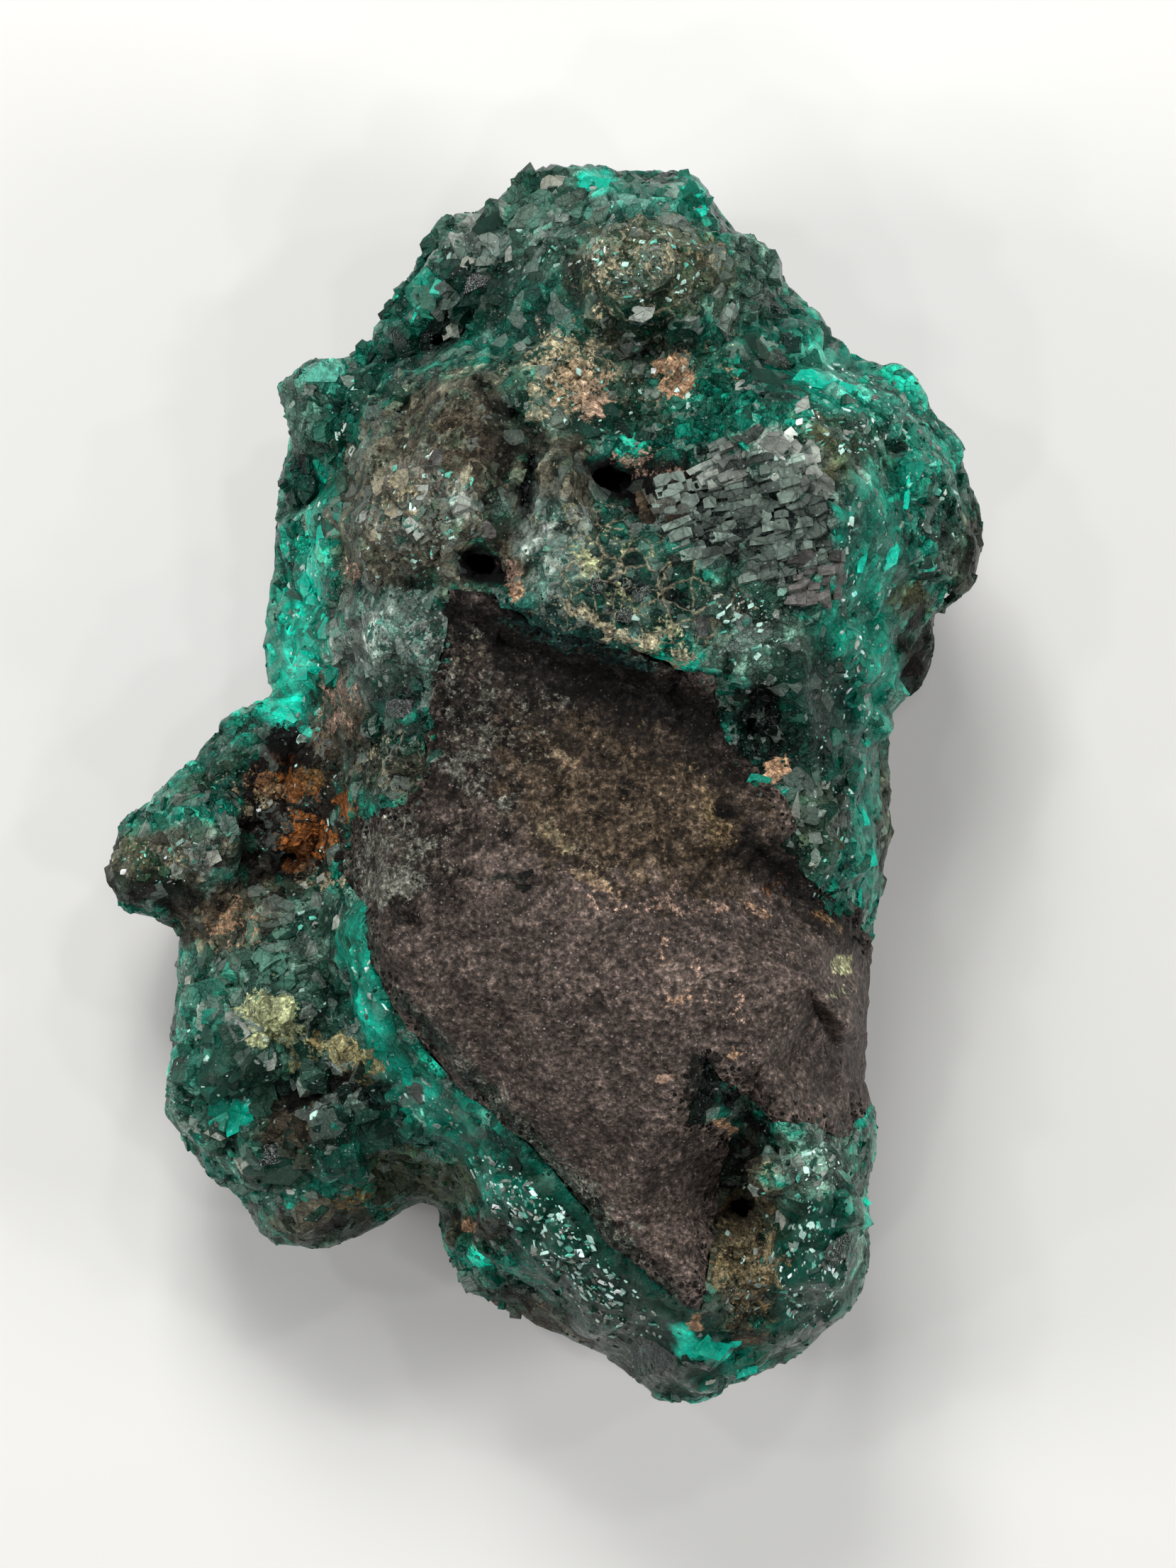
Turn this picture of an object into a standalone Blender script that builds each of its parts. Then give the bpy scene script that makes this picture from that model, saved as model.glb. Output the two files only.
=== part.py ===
"""Dioptase specimen: green crystals grown over and around a lump of brown host rock.

The specimen lies on its back on the flat underside of the rock. The numbers in the lists are
drawn in units of the outline, one unit being close to a millimetre: x across, y along the
length, z up from the resting face. SPECIMEN_LENGTH turns them into metres.
"""

import math
import random

import bmesh
import bpy
from mathutils import Matrix, Vector, noise
from mathutils.bvhtree import BVHTree
from mathutils.geometry import delaunay_2d_cdt

# Driving dimensions, in metres.
SPECIMEN_LENGTH = 0.0584
SEAM_GAP = 0.0003

# Shape values, in outline units.
SHOULDER_INSET = 1.3
SHOULDER_SHARE = 0.55
UNDERSIDE_INSET = 2.0
UNDERSIDE_SHARE = 0.45
CRYSTAL_EDGE = 3.5
ROCK_EDGE = 5.5
BACK_EDGE = 6.5
UNDERSIDE_LEVEL = 7.0
ROCK_LEVEL = 15.0
SOFT_LEVEL = 12.5
SOFTENING = 0.4
ROCK_NOISE = 0.2
CRYSTAL_NOISE = 0.8
ROCK_TOP = 5.6
ROCK_SKIRT = 3.0
SKY = 45.0
SEED = 21

OUTLINE = [
    (0.3, 29.0), (2.4, 29.2), (3.6, 28.7), (6.6, 28.95), (8.0, 28.0), (9.0, 26.5), (10.0, 25.1),
    (12.3, 22.9), (13.5, 20.8), (14.1, 20.05), (16.3, 19.5), (17.4, 18.1), (19.3, 15.9),
    (20.2, 13.8), (20.7, 11.6), (20.2, 9.3), (18.3, 8.0), (18.3, 6.5), (17.8, 5.0), (16.2, 3.4),
    (16.15, 0.0), (16.4, -3.0), (15.8, -5.0), (15.2, -8.0), (15.0, -12.0), (15.1, -14.0),
    (15.8, -16.7), (15.2, -18.4), (15.4, -21.7), (14.2, -25.0), (12.0, -26.8), (10.0, -27.7),
    (7.3, -28.9), (5.8, -29.2), (4.8, -28.4), (3.0, -27.0), (0.8, -25.9), (-1.2, -24.7),
    (-3.4, -23.7), (-4.6, -21.7), (-4.7, -19.9), (-6.0, -19.8), (-8.2, -20.9), (-10.5, -22.0),
    (-12.6, -21.8), (-13.9, -20.1), (-16.2, -18.0), (-17.9, -15.4), (-17.5, -12.5),
    (-17.3, -9.3), (-17.0, -7.2), (-18.2, -6.1), (-19.9, -5.9), (-20.65, -4.0), (-19.9, -1.6),
    (-16.5, 1.1), (-13.9, 3.9), (-12.7, 4.1), (-12.9, 9.7), (-12.55, 12.8), (-12.75, 14.4),
    (-11.8, 17.1), (-11.5, 19.6), (-10.9, 20.05), (-10.1, 19.75), (-9.0, 20.05), (-7.8, 21.7),
    (-6.2, 24.8), (-4.8, 26.3), (-2.0, 27.6), (-0.5, 28.9),
]

# Height of the widest line of the specimen, given at a few places round the outline.
RIM_HEIGHTS = [
    (2.0, 29.0, 11.5), (-12.6, 10.0, 9.0), (-20.5, -4.0, 9.5), (-17.5, -12.0, 9.0),
    (-3.0, -24.0, 8.0), (7.0, -29.0, 9.0), (15.3, -20.0, 11.0), (16.0, 0.0, 10.0),
    (20.5, 11.0, 12.0), (16.0, 19.5, 12.0),
]

# Heights of the upper side, form by form.
SPOTS = {
    "upper dome": [
        (2.5, 26.5, 17.0), (6.5, 26.0, 18.0), (-1.5, 26.0, 16.0), (-4.0, 24.5, 15.5),
        (0.0, 24.0, 19.0), (-4.5, 22.0, 15.0), (-4.9, 20.8, 14.0), (9.0, 25.0, 17.5),
        (11.0, 22.5, 18.0), (12.5, 19.5, 20.0), (9.0, 21.0, 20.0), (0.5, 20.5, 20.5),
        (2.0, 18.5, 20.5), (6.0, 18.5, 20.0), (9.0, 18.5, 21.5), (-7.5, 19.5, 14.0),
    ],
    "nodule": [
        (5.0, 23.6, 24.5), (2.3, 24.0, 21.5), (7.8, 24.0, 22.0), (3.5, 21.8, 23.0),
        (6.5, 21.8, 23.0), (4.8, 20.2, 19.0), (5.0, 25.0, 22.5),
    ],
    "left strip": [
        (-11.0, 18.5, 12.5), (-9.0, 18.0, 14.0), (-11.5, 15.0, 11.5), (-9.0, 15.5, 14.0),
        (-11.0, 12.0, 11.0), (-10.0, 9.5, 12.0), (-11.3, 7.0, 11.0), (-10.5, 4.5, 11.0),
    ],
    "brown lump": [
        (-4.0, 17.8, 22.0), (-3.0, 16.0, 24.0), (-6.0, 15.5, 21.0), (-5.5, 13.0, 24.5),
        (-8.0, 11.5, 20.5), (-3.5, 12.5, 24.0), (-6.0, 10.0, 22.5), (-1.0, 15.5, 23.0),
        (-7.6, 14.0, 18.5),
    ],
    "grey fin": [(1.0, 14.0, 24.8), (0.5, 12.0, 24.8), (-0.9, 10.6, 24.0)],
    "cleavage field": [
        (8.0, 13.5, 23.5), (11.0, 15.0, 25.0), (12.0, 12.0, 25.5), (9.5, 11.0, 25.5),
        (12.5, 9.0, 25.0), (14.0, 14.0, 23.5), (13.5, 17.0, 22.5), (5.0, 15.5, 22.0),
    ],
    "right shoulder": [
        (16.0, 17.5, 20.0), (17.5, 14.5, 19.5), (16.0, 11.0, 21.5), (18.5, 12.0, 18.0),
        (17.0, 8.5, 18.5), (17.3, 6.0, 16.0),
    ],
    "network and brow": [
        (3.0, 10.5, 25.5), (5.0, 8.5, 26.0), (7.5, 8.0, 26.0), (1.0, 9.0, 25.5),
        (-8.0, 8.3, 20.5), (-5.0, 9.0, 23.0), (-3.0, 8.9, 24.5), (-0.5, 8.1, 25.5),
        (2.0, 7.2, 26.5), (4.5, 6.7, 26.8), (7.0, 5.9, 26.5), (9.0, 5.5, 25.0),
    ],
    "hollow under the brow": [
        (-2.5, 6.9, 21.8), (0.3, 5.9, 21.3), (3.0, 5.2, 21.0), (6.0, 4.4, 21.2), (7.6, 3.4, 21.5),
    ],
    "grey plate": [(-7.5, 6.5, 21.0), (-5.5, 6.0, 22.8), (-8.3, 4.5, 18.5), (-6.5, 2.5, 20.0)],
    "middle of the rock face": [
        (-4.0, 2.0, 23.0), (0.0, 1.5, 23.0), (4.0, 1.0, 23.3), (7.0, 0.0, 23.5),
        (-7.0, -2.5, 22.0), (-3.0, -2.0, 24.3), (1.0, -2.5, 25.0), (5.0, -3.0, 25.3),
        (8.0, -2.3, 25.0),
    ],
    "lower rock face": [
        (-7.0, -6.5, 24.0), (-3.0, -5.5, 25.8), (1.0, -5.5, 26.2), (6.0, -6.5, 26.2),
        (12.0, -9.0, 25.0), (14.0, -11.0, 23.0), (-5.0, -10.5, 24.0), (-1.5, -11.8, 24.2),
        (-1.0, -9.0, 25.6), (1.0, -13.5, 25.0), (5.0, -10.5, 26.0), (5.0, -16.0, 24.3),
        (10.0, -12.5, 25.0), (13.0, -14.3, 24.0), (4.0, -20.0, 22.5), (6.8, -22.5, 21.5),
    ],
    "recess on the right": [(9.0, -3.8, 21.8), (11.0, -5.3, 21.5), (13.3, -6.9, 21.5)],
    "right flank": [
        (10.0, 3.5, 22.5), (9.8, 1.5, 20.5), (12.0, 5.0, 24.0), (14.5, 5.0, 21.0),
        (12.5, 0.5, 22.5), (14.5, 0.0, 19.5), (12.8, -3.0, 23.0), (14.5, -4.5, 19.5),
    ],
    "pocket": [(9.3, -17.5, 19.0), (9.5, -20.0, 16.5), (9.3, -23.0, 18.0), (8.2, -25.3, 17.0)],
    "lower right bulge": [
        (12.3, -16.8, 23.5), (12.7, -20.0, 23.0), (13.6, -22.5, 20.5), (11.5, -24.8, 20.0),
        (9.0, -27.0, 16.0), (5.5, -26.5, 17.0),
    ],
    "green rim": [
        (-8.5, -9.0, 19.5), (-7.0, -12.7, 18.0), (-5.0, -15.8, 17.5), (-1.9, -18.8, 18.0),
        (0.8, -22.2, 17.5), (3.8, -24.7, 17.5), (6.5, -25.0, 19.0),
        (-3.0, -21.5, 14.0), (-0.5, -23.7, 13.5), (2.5, -25.7, 13.5),
    ],
    "left lobe": [
        (-12.8, -10.4, 16.0), (-15.5, -10.5, 13.5), (-10.0, -9.0, 14.5), (-9.5, -12.5, 15.5),
        (-15.0, -14.5, 14.0), (-12.0, -14.8, 12.5), (-8.5, -16.0, 16.5), (-11.5, -17.5, 15.5),
        (-6.5, -18.0, 14.5), (-10.5, -20.0, 13.5), (-14.0, -17.5, 13.0),
    ],
    "left spur": [
        (-18.5, -3.3, 13.5), (-16.0, -3.3, 14.0), (-16.5, -0.6, 12.5), (-14.0, 1.5, 12.5),
    ],
    "rusty recess": [
        (-12.0, 0.0, 11.0), (-10.5, -3.0, 11.0), (-14.0, -5.5, 12.0), (-13.0, -7.5, 13.5),
        (-10.0, -6.5, 14.0), (-9.3, 0.8, 14.0),
    ],
}

# The flat face that the specimen rests on, and the underside of the parts that overhang.
FOOT = [
    (-2.0, 23.5), (4.0, 25.0), (9.0, 22.0), (13.0, 17.0), (16.0, 13.0), (15.5, 8.0),
    (12.8, 3.0), (12.8, -4.0), (12.2, -10.0), (12.2, -16.0), (12.0, -21.5), (9.5, -24.5),
    (5.5, -25.0), (1.0, -22.5), (-3.0, -19.0), (-8.0, -17.0), (-12.5, -15.0), (-14.0, -11.0),
    (-11.5, -6.0), (-10.0, 0.0), (-9.2, 6.0), (-9.2, 12.0), (-8.5, 16.5), (-6.0, 20.0),
]
OVERHANGS = [(-18.3, -3.6, 6.3), (-15.0, -0.8, 5.0), (-14.5, -5.0, 4.6), (-11.9, -19.2, 3.0)]

# Edge of the bare rock face, as it shows from above. It runs past the right side.
ROCK_FACE = [
    (-4.0, 8.8), (-2.5, 8.6), (-1.0, 7.7), (0.0, 7.0), (2.0, 6.6), (4.0, 6.2), (5.0, 5.6),
    (6.5, 5.2), (7.8, 5.0), (8.0, 3.2), (8.3, 2.0), (10.0, 0.3), (11.0, -0.8), (12.0, -4.0),
    (13.0, -5.0), (14.5, -6.0), (15.4, -8.0), (19.0, -8.6), (19.0, -14.4), (15.2, -14.8),
    (14.0, -16.2), (12.5, -15.5), (10.8, -15.3), (9.5, -13.9), (8.2, -13.3), (7.5, -12.1),
    (6.9, -13.8), (6.5, -15.6), (7.7, -15.5), (8.6, -16.2), (8.2, -17.6), (7.8, -20.0),
    (7.5, -22.0), (7.2, -24.2), (6.4, -23.5), (5.0, -22.3), (3.5, -21.0), (1.0, -18.0),
    (-0.3, -16.5), (-2.0, -15.0), (-3.2, -14.2), (-5.0, -12.3), (-7.0, -9.3), (-7.6, -8.0),
    (-7.7, -5.8), (-8.9, -4.5), (-9.0, -3.0), (-8.5, -1.8), (-6.0, -1.0), (-5.2, 1.0),
    (-4.6, 5.0), (-4.3, 7.0),
]

# Rises of the rock under the crystals, where its rind shows at the edge: x, y, reach, height.
ROCK_RISES = [
    (2.0, -27.0, 4.0, 4.6), (-2.0, -25.0, 3.0, 3.0), (16.6, -1.0, 3.5, 4.6),
    (15.6, -11.0, 4.5, 5.5), (20.5, 9.0, 3.0, 4.5), (-10.0, -21.5, 3.0, 2.5),
    (-18.0, -6.0, 3.0, 2.5),
]

# Deep pits: centre, half width, half length and floor.
PITS = [
    (-2.7, 10.1, 0.95, 0.7, 16.5), (3.2, 14.1, 1.2, 0.75, 17.0), (9.3, -19.7, 1.1, 1.0, 13.5),
    (-10.4, -14.3, 0.9, 0.6, 11.5), (-12.0, -3.3, 0.9, 0.7, 9.5), (9.6, 2.6, 0.7, 1.0, 16.5),
    (18.9, 9.0, 0.5, 0.6, 11.0), (-4.9, 20.7, 0.7, 1.0, 12.0),
]

# Fields of crystals: centre, half width, half length, turn in degrees, count, size from, to.
FIELDS = {
    "upper left slope": (-4.0, 24.0, 4.2, 2.4, 40.0, 8, 1.1, 1.9),
    "crest": (3.0, 27.2, 4.4, 1.2, -4.0, 6, 1.0, 1.7),
    "upper right slope": (10.4, 22.4, 3.6, 1.5, -52.0, 6, 1.0, 1.6),
    "left strip": (-10.7, 11.5, 1.4, 7.4, 0.0, 9, 1.0, 1.7),
    "left corner": (-10.4, 18.7, 0.8, 0.8, 0.0, 2, 1.0, 1.4),
    "strip to lump": (-7.6, 17.5, 1.4, 2.2, -20.0, 3, 0.9, 1.4),
    "right shoulder": (15.2, 18.0, 3.2, 1.3, -28.0, 5, 1.0, 1.6),
    "right knob": (18.4, 12.2, 1.4, 3.2, 8.0, 5, 1.0, 1.5),
    "right flank": (14.7, 6.5, 1.5, 4.2, 0.0, 6, 0.9, 1.5),
    "lower right flank": (13.5, -1.0, 1.4, 3.8, 0.0, 5, 0.8, 1.4),
    "left lobe": (-12.6, -13.8, 3.8, 5.6, 12.0, 15, 1.1, 2.0),
    "left spur": (-16.4, -1.4, 3.0, 1.1, 38.0, 3, 0.9, 1.5),
    "rusty recess": (-11.4, -3.2, 1.8, 3.2, 0.0, 4, 0.8, 1.3),
    "green rim, upper": (-6.9, -12.2, 0.9, 4.0, 30.0, 4, 0.9, 1.4),
    "green rim, lower": (0.6, -20.8, 1.5, 5.4, 46.0, 7, 1.0, 1.6),
    "lower left lump": (-3.0, -21.9, 1.0, 1.0, 0.0, 3, 0.9, 1.4),
    "lower tip": (7.4, -27.0, 3.2, 1.0, 20.0, 5, 1.0, 1.7),
    "lower right bulge": (13.0, -20.4, 1.3, 4.2, 0.0, 6, 0.9, 1.5),
    "pocket": (9.7, -21.6, 0.9, 2.8, 0.0, 3, 0.7, 1.1),
    "brown lump": (-5.2, 13.6, 2.2, 3.6, -38.0, 7, 0.9, 1.5),
    "copper patch": (2.2, 18.6, 1.8, 1.6, 0.0, 3, 0.7, 1.2),
    "nodule": (5.0, 23.4, 2.2, 1.4, 0.0, 5, 0.8, 1.2),
    "network": (4.2, 8.6, 2.8, 1.2, -10.0, 3, 0.7, 1.0),
}
SIDE_CRYSTALS = 38
SIDE_SIZE = (1.3, 2.2)
SIDE_LEVELS = (6.8, 15.0)

# Blocks left where crystals split along their cleavage: rows that climb to the right.
LEDGE_START = (6.4, 10.6)
LEDGE_ROWS = 4
LEDGE_COLUMNS = 5
LEDGE_STEP = (1.65, 1.22)
LEDGE_TURN = math.radians(13.0)
LEDGE_SIZE = (1.5, 1.0, 2.6)
PLAIN_FACE = (11.2, 15.5, 2.0, 1.7)

DIOPTASE_COLOUR = (0.004, 0.13, 0.095, 1.0)
ROCK_COLOUR = (0.075, 0.056, 0.046, 1.0)


def outline_length():
    """Length of the outline along y, in its own units."""
    rows = [y for _, y in OUTLINE]
    return max(rows) - min(rows)


UNIT = SPECIMEN_LENGTH / outline_length()


def weighted_height(spots, x, y):
    """Height at a place, as the mean of spot heights weighted by nearness."""
    total = 0.0
    weights = 0.0
    for sx, sy, sz in spots:
        weight = 1.0 / ((x - sx) ** 2 + (y - sy) ** 2 + 0.05) ** 1.5
        total += weight * sz
        weights += weight
    return total / weights


def offset_ring(ring, distance):
    """A ring moved along its own normals, outwards for a positive distance."""
    moved = []
    count = len(ring)
    for index, point in enumerate(ring):
        before = Vector(ring[index - 1])
        after = Vector(ring[(index + 1) % count])
        along = (after - before).normalized()
        moved.append(Vector(point) + Vector((-along.y, along.x)) * distance)
    return moved


def inside(ring, x, y):
    """Whether a point lies inside a closed ring of points."""
    crossings = False
    for index, (x1, y1) in enumerate(ring):
        x0, y0 = ring[index - 1]
        if (y0 > y) != (y1 > y) and x < x0 + (y - y0) * (x1 - x0) / (y1 - y0):
            crossings = not crossings
    return crossings


def spaced(points, others, distance):
    """The points that keep a distance from the others and from each other."""
    kept = []
    for point in points:
        place = Vector(point[:2])
        near = [other for other in others + kept if (Vector(other[:2]) - place).length < distance]
        if not near:
            kept.append(point)
    return kept


def all_spots():
    """Every spot height of the upper side in one list."""
    return [spot for group in SPOTS.values() for spot in group]


def rim():
    """The outline with its heights."""
    return [(x, y, weighted_height(RIM_HEIGHTS, x, y)) for x, y in OUTLINE]


def shoulder(edge):
    """Points just inside the outline that make the sides steeper than the top."""
    points = []
    for place, (_, _, low) in zip(offset_ring(OUTLINE, -SHOULDER_INSET), edge):
        high = weighted_height(all_spots(), place.x, place.y)
        points.append((place.x, place.y, low + SHOULDER_SHARE * (high - low)))
    return [point for point in points if inside(OUTLINE, point[0], point[1])]


def underside(edge):
    """Points under the rim, between it and the foot."""
    points = []
    for place, (_, _, high) in zip(offset_ring(OUTLINE, -UNDERSIDE_INSET), edge):
        if inside(OUTLINE, place.x, place.y) and not inside(FOOT, place.x, place.y):
            points.append((place.x, place.y, high * UNDERSIDE_SHARE))
    return points


def add_sheet(mesh, rim_verts, points):
    """Triangulate points inside the rim and add them to the mesh as one sheet."""
    flat = [Vector((vert.co.x, vert.co.y)) for vert in rim_verts]
    flat += [Vector(point[:2]) for point in points]
    loop = [(index, (index + 1) % len(rim_verts)) for index in range(len(rim_verts))]
    _, _, faces, sources, _, _ = delaunay_2d_cdt(flat, loop, [], 1, 1e-6)
    verts = rim_verts + [mesh.verts.new(point) for point in points]
    for face in faces:
        mesh.faces.new([verts[sources[corner][0]] for corner in face])


def split_long_edges(mesh):
    """Halve edges until none is longer than its side of the specimen allows."""
    for _ in range(4):
        long_edges = []
        for edge in mesh.edges:
            middle = (edge.verts[0].co + edge.verts[1].co) / 2
            limit = ROCK_EDGE if inside(ROCK_FACE, middle.x, middle.y) else CRYSTAL_EDGE
            if middle.z < UNDERSIDE_LEVEL:
                limit = BACK_EDGE
            if edge.calc_length() > limit:
                long_edges.append(edge)
        if not long_edges:
            return
        bmesh.ops.subdivide_edges(mesh, edges=long_edges, cuts=1)
        bmesh.ops.triangulate(mesh, faces=mesh.faces[:])


def vector_noise(place):
    """Three independent noise values at a place."""
    shifts = ((0.0, 0.0, 0.0), (31.7, 11.3, 5.9), (7.1, 43.9, 17.3))
    return Vector([noise.noise(place + Vector(shift)) for shift in shifts])


def roughen(mesh):
    """Give the sheets their lumps and hollows, and leave the foot flat."""
    for vert in mesh.verts:
        place = vert.co
        if place.z < 0.01:
            continue
        rock = inside(ROCK_FACE, place.x, place.y) and place.z > ROCK_LEVEL
        strength = ROCK_NOISE if rock else CRYSTAL_NOISE
        edge_distance = min((Vector(point) - place.xy).length for point in OUTLINE)
        strength *= min(1.0, 0.25 + 0.4 * edge_distance)
        broad = vector_noise(place * 0.33)
        fine = vector_noise(place * 1.1 + Vector((9.0, 4.0, 2.0)))
        shift = (broad * 0.6 + fine * 0.9) * strength
        vert.co = place + shift
        vert.co.z = max(vert.co.z, 0.3)


def body_mesh():
    """The whole lump without its crystals, as one closed bmesh in outline units."""
    mesh = bmesh.new()
    edge = rim()
    rim_verts = [mesh.verts.new(point) for point in edge]
    front = spaced(shoulder(edge), [], 1.0)
    front += spaced(all_spots(), front, 1.0)
    foot = [(x, y, 0.0) for x, y in FOOT]
    back = spaced(underside(edge), foot, 1.6)
    back += spaced(OVERHANGS, back + foot, 1.0)
    add_sheet(mesh, rim_verts, front)
    add_sheet(mesh, rim_verts, foot + back)
    bmesh.ops.recalc_face_normals(mesh, faces=mesh.faces)
    split_long_edges(mesh)
    soft = [vert for vert in mesh.verts if vert.co.z > SOFT_LEVEL]
    bmesh.ops.smooth_vert(mesh, verts=soft, factor=SOFTENING, use_axis_z=True)
    roughen(mesh)
    bmesh.ops.recalc_face_normals(mesh, faces=mesh.faces)
    return mesh


def to_object(name, mesh):
    """Turn a bmesh in outline units into an object in metres."""
    bmesh.ops.transform(mesh, matrix=Matrix.Scale(UNIT, 4), verts=mesh.verts)
    data = bpy.data.meshes.new(name)
    mesh.to_mesh(data)
    mesh.free()
    thing = bpy.data.objects.new(name, data)
    bpy.context.scene.collection.objects.link(thing)
    return thing


def crystal_template():
    """A short six-sided prism with a three-faced tip, one unit in radius."""
    mesh = bmesh.new()
    bmesh.ops.create_cone(mesh, cap_ends=True, segments=6, radius1=1.0, radius2=1.0, depth=3.2)
    lean = math.radians(48.0)
    for turn in (30.0, 150.0, 270.0):
        angle = math.radians(turn)
        normal = (math.cos(angle) * math.sin(lean), math.sin(angle) * math.sin(lean), math.cos(lean))
        geometry = mesh.verts[:] + mesh.edges[:] + mesh.faces[:]
        bmesh.ops.bisect_plane(mesh, geom=geometry, plane_co=(0.0, 0.0, 1.5), plane_no=normal,
                               clear_outer=True)
        open_edges = [edge for edge in mesh.edges if edge.is_boundary]
        bmesh.ops.holes_fill(mesh, edges=open_edges)
    return store_template("crystal_template", mesh)


def block_template():
    """A rhomb-shaped cleavage block, one unit in half width."""
    mesh = bmesh.new()
    bmesh.ops.create_cube(mesh, size=2.0)
    for vert in mesh.verts:
        vert.co.x += 0.22 * vert.co.y
        vert.co.z += 0.15 * vert.co.x
    return store_template("block_template", mesh)


def store_template(name, mesh):
    """Keep a template as mesh data that copies are read from."""
    data = bpy.data.meshes.new(name)
    bmesh.ops.recalc_face_normals(mesh, faces=mesh.faces)
    mesh.to_mesh(data)
    mesh.free()
    return data


def add_copy(batches, template, place, axis, turn, size):
    """Add one copy of a template, its z along the axis, to the first batch that it doesn't touch.

    Crystals that overlap go into different batches, so each batch is a clean set of bodies.
    """
    reach = 1.8 * max(size)
    for batch in batches:
        if all((place - other).length > reach + other_reach for other, other_reach in batch["taken"]):
            break
    else:
        batch = {"mesh": bmesh.new(), "taken": []}
        batches.append(batch)
    batch["taken"].append((place, reach))
    mesh = batch["mesh"]
    known = len(mesh.verts)
    mesh.from_mesh(template)
    mesh.verts.ensure_lookup_table()
    fresh = mesh.verts[known:]
    pose = Matrix.Translation(place) @ axis.to_track_quat("Z", "Y").to_matrix().to_4x4()
    pose = pose @ Matrix.Rotation(turn, 4, "Z") @ Matrix.Diagonal((*size, 1.0))
    bmesh.ops.transform(mesh, matrix=pose, verts=fresh)


def field_sites(field, rng):
    """Scattered places inside one turned oval field."""
    x, y, half_width, half_length, turn, count, small, large = field
    angle = math.radians(turn)
    for _ in range(count):
        reach = math.sqrt(rng.random())
        around = rng.uniform(0.0, 2.0 * math.pi)
        u = reach * math.cos(around) * half_width
        v = reach * math.sin(around) * half_length
        place = (x + u * math.cos(angle) - v * math.sin(angle),
                 y + u * math.sin(angle) + v * math.cos(angle))
        yield place, rng.uniform(small, large)


def jittered(normal, rng, amount):
    """A direction near the surface normal."""
    wobble = Vector((rng.uniform(-1, 1), rng.uniform(-1, 1), rng.uniform(-1, 1)))
    return (normal + wobble * amount).normalized()


def add_field_crystals(batches, surface, templates, rng):
    """Crystals of the named fields, standing on the upper side."""
    for name, field in FIELDS.items():
        for (x, y), size in field_sites(field, rng):
            place, normal, _, _ = surface.ray_cast(Vector((x, y, SKY)), Vector((0, 0, -1)))
            if place is None:
                continue
            blocky = name in ("brown lump", "nodule", "network") or rng.random() < 0.35
            template = templates["block" if blocky else "crystal"]
            axis = jittered(normal, rng, 0.5)
            depth = size * (0.9 if blocky else 1.25)
            shape = (size * rng.uniform(0.8, 1.1), size * rng.uniform(0.65, 1.0), size)
            add_copy(batches, template, place - axis * depth * 0.55, axis, rng.uniform(0, 6.3), shape)


def add_side_crystals(batches, surface, templates, rng):
    """Crystals round the sides, from just above the rock up to the shoulder."""
    for index in range(SIDE_CRYSTALS):
        angle = 2.0 * math.pi * (index + rng.random()) / SIDE_CRYSTALS
        heading = Vector((math.cos(angle), math.sin(angle), 0.0))
        height = rng.uniform(*SIDE_LEVELS)
        start = heading * 60.0 + Vector((0.0, 0.0, height))
        place, normal, _, _ = surface.ray_cast(start, -heading)
        if place is None:
            continue
        size = rng.uniform(*SIDE_SIZE)
        axis = jittered(normal, rng, 0.35)
        sink = axis * size * 1.15
        inward = heading * size * 0.25
        add_copy(batches, templates["crystal"], place - sink - inward, axis, rng.uniform(0, 6.3),
                 (size, size * 0.85, size))


def add_ledges(batches, surface, templates, rng):
    """Rows of split blocks, each row a step above the last, and one plain bright face."""
    tilt = Vector((0.10, 0.22, 1.0)).normalized()
    for row in range(LEDGE_ROWS):
        for column in range(LEDGE_COLUMNS):
            u = column * LEDGE_STEP[0] + 0.45 * (row % 2) + rng.uniform(-0.15, 0.15)
            v = row * LEDGE_STEP[1]
            x = LEDGE_START[0] + u * math.cos(LEDGE_TURN) - v * math.sin(LEDGE_TURN)
            y = LEDGE_START[1] + u * math.sin(LEDGE_TURN) + v * math.cos(LEDGE_TURN)
            place, _, _, _ = surface.ray_cast(Vector((x, y, SKY)), Vector((0, 0, -1)))
            lift = Vector((0.0, 0.0, rng.uniform(-1.35, -0.95)))
            size = [0.5 * value * rng.uniform(0.92, 1.15) for value in LEDGE_SIZE]
            add_copy(batches, templates["block"], place + lift, tilt, 0.0, size)
    x, y, half_width, half_length = PLAIN_FACE
    place, _, _, _ = surface.ray_cast(Vector((x, y, SKY)), Vector((0, 0, -1)))
    add_copy(batches, templates["block"], place + Vector((0.0, 0.0, -0.7)), tilt,
             math.radians(-24.0), (half_width, half_length, 1.2))


def crystal_batches(surface):
    """All crystals and cleavage blocks, in batches whose members stay clear of each other."""
    rng = random.Random(SEED)
    templates = {"crystal": crystal_template(), "block": block_template()}
    batches = []
    add_field_crystals(batches, surface, templates, rng)
    add_side_crystals(batches, surface, templates, rng)
    add_ledges(batches, surface, templates, rng)
    for template in templates.values():
        bpy.data.meshes.remove(template)
    return [batch["mesh"] for batch in batches]


def pits_mesh():
    """Cutters of the deep pits."""
    mesh = bmesh.new()
    for x, y, half_width, half_length, floor in PITS:
        height = 0.5 * (SKY - floor)
        pose = Matrix.Translation((x, y, floor + height))
        pose = pose @ Matrix.Diagonal((half_width, half_length, height, 1.0))
        bmesh.ops.create_cone(mesh, cap_ends=True, segments=7, radius1=0.55, radius2=1.6,
                              depth=2.0, matrix=pose)
    return mesh


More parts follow.
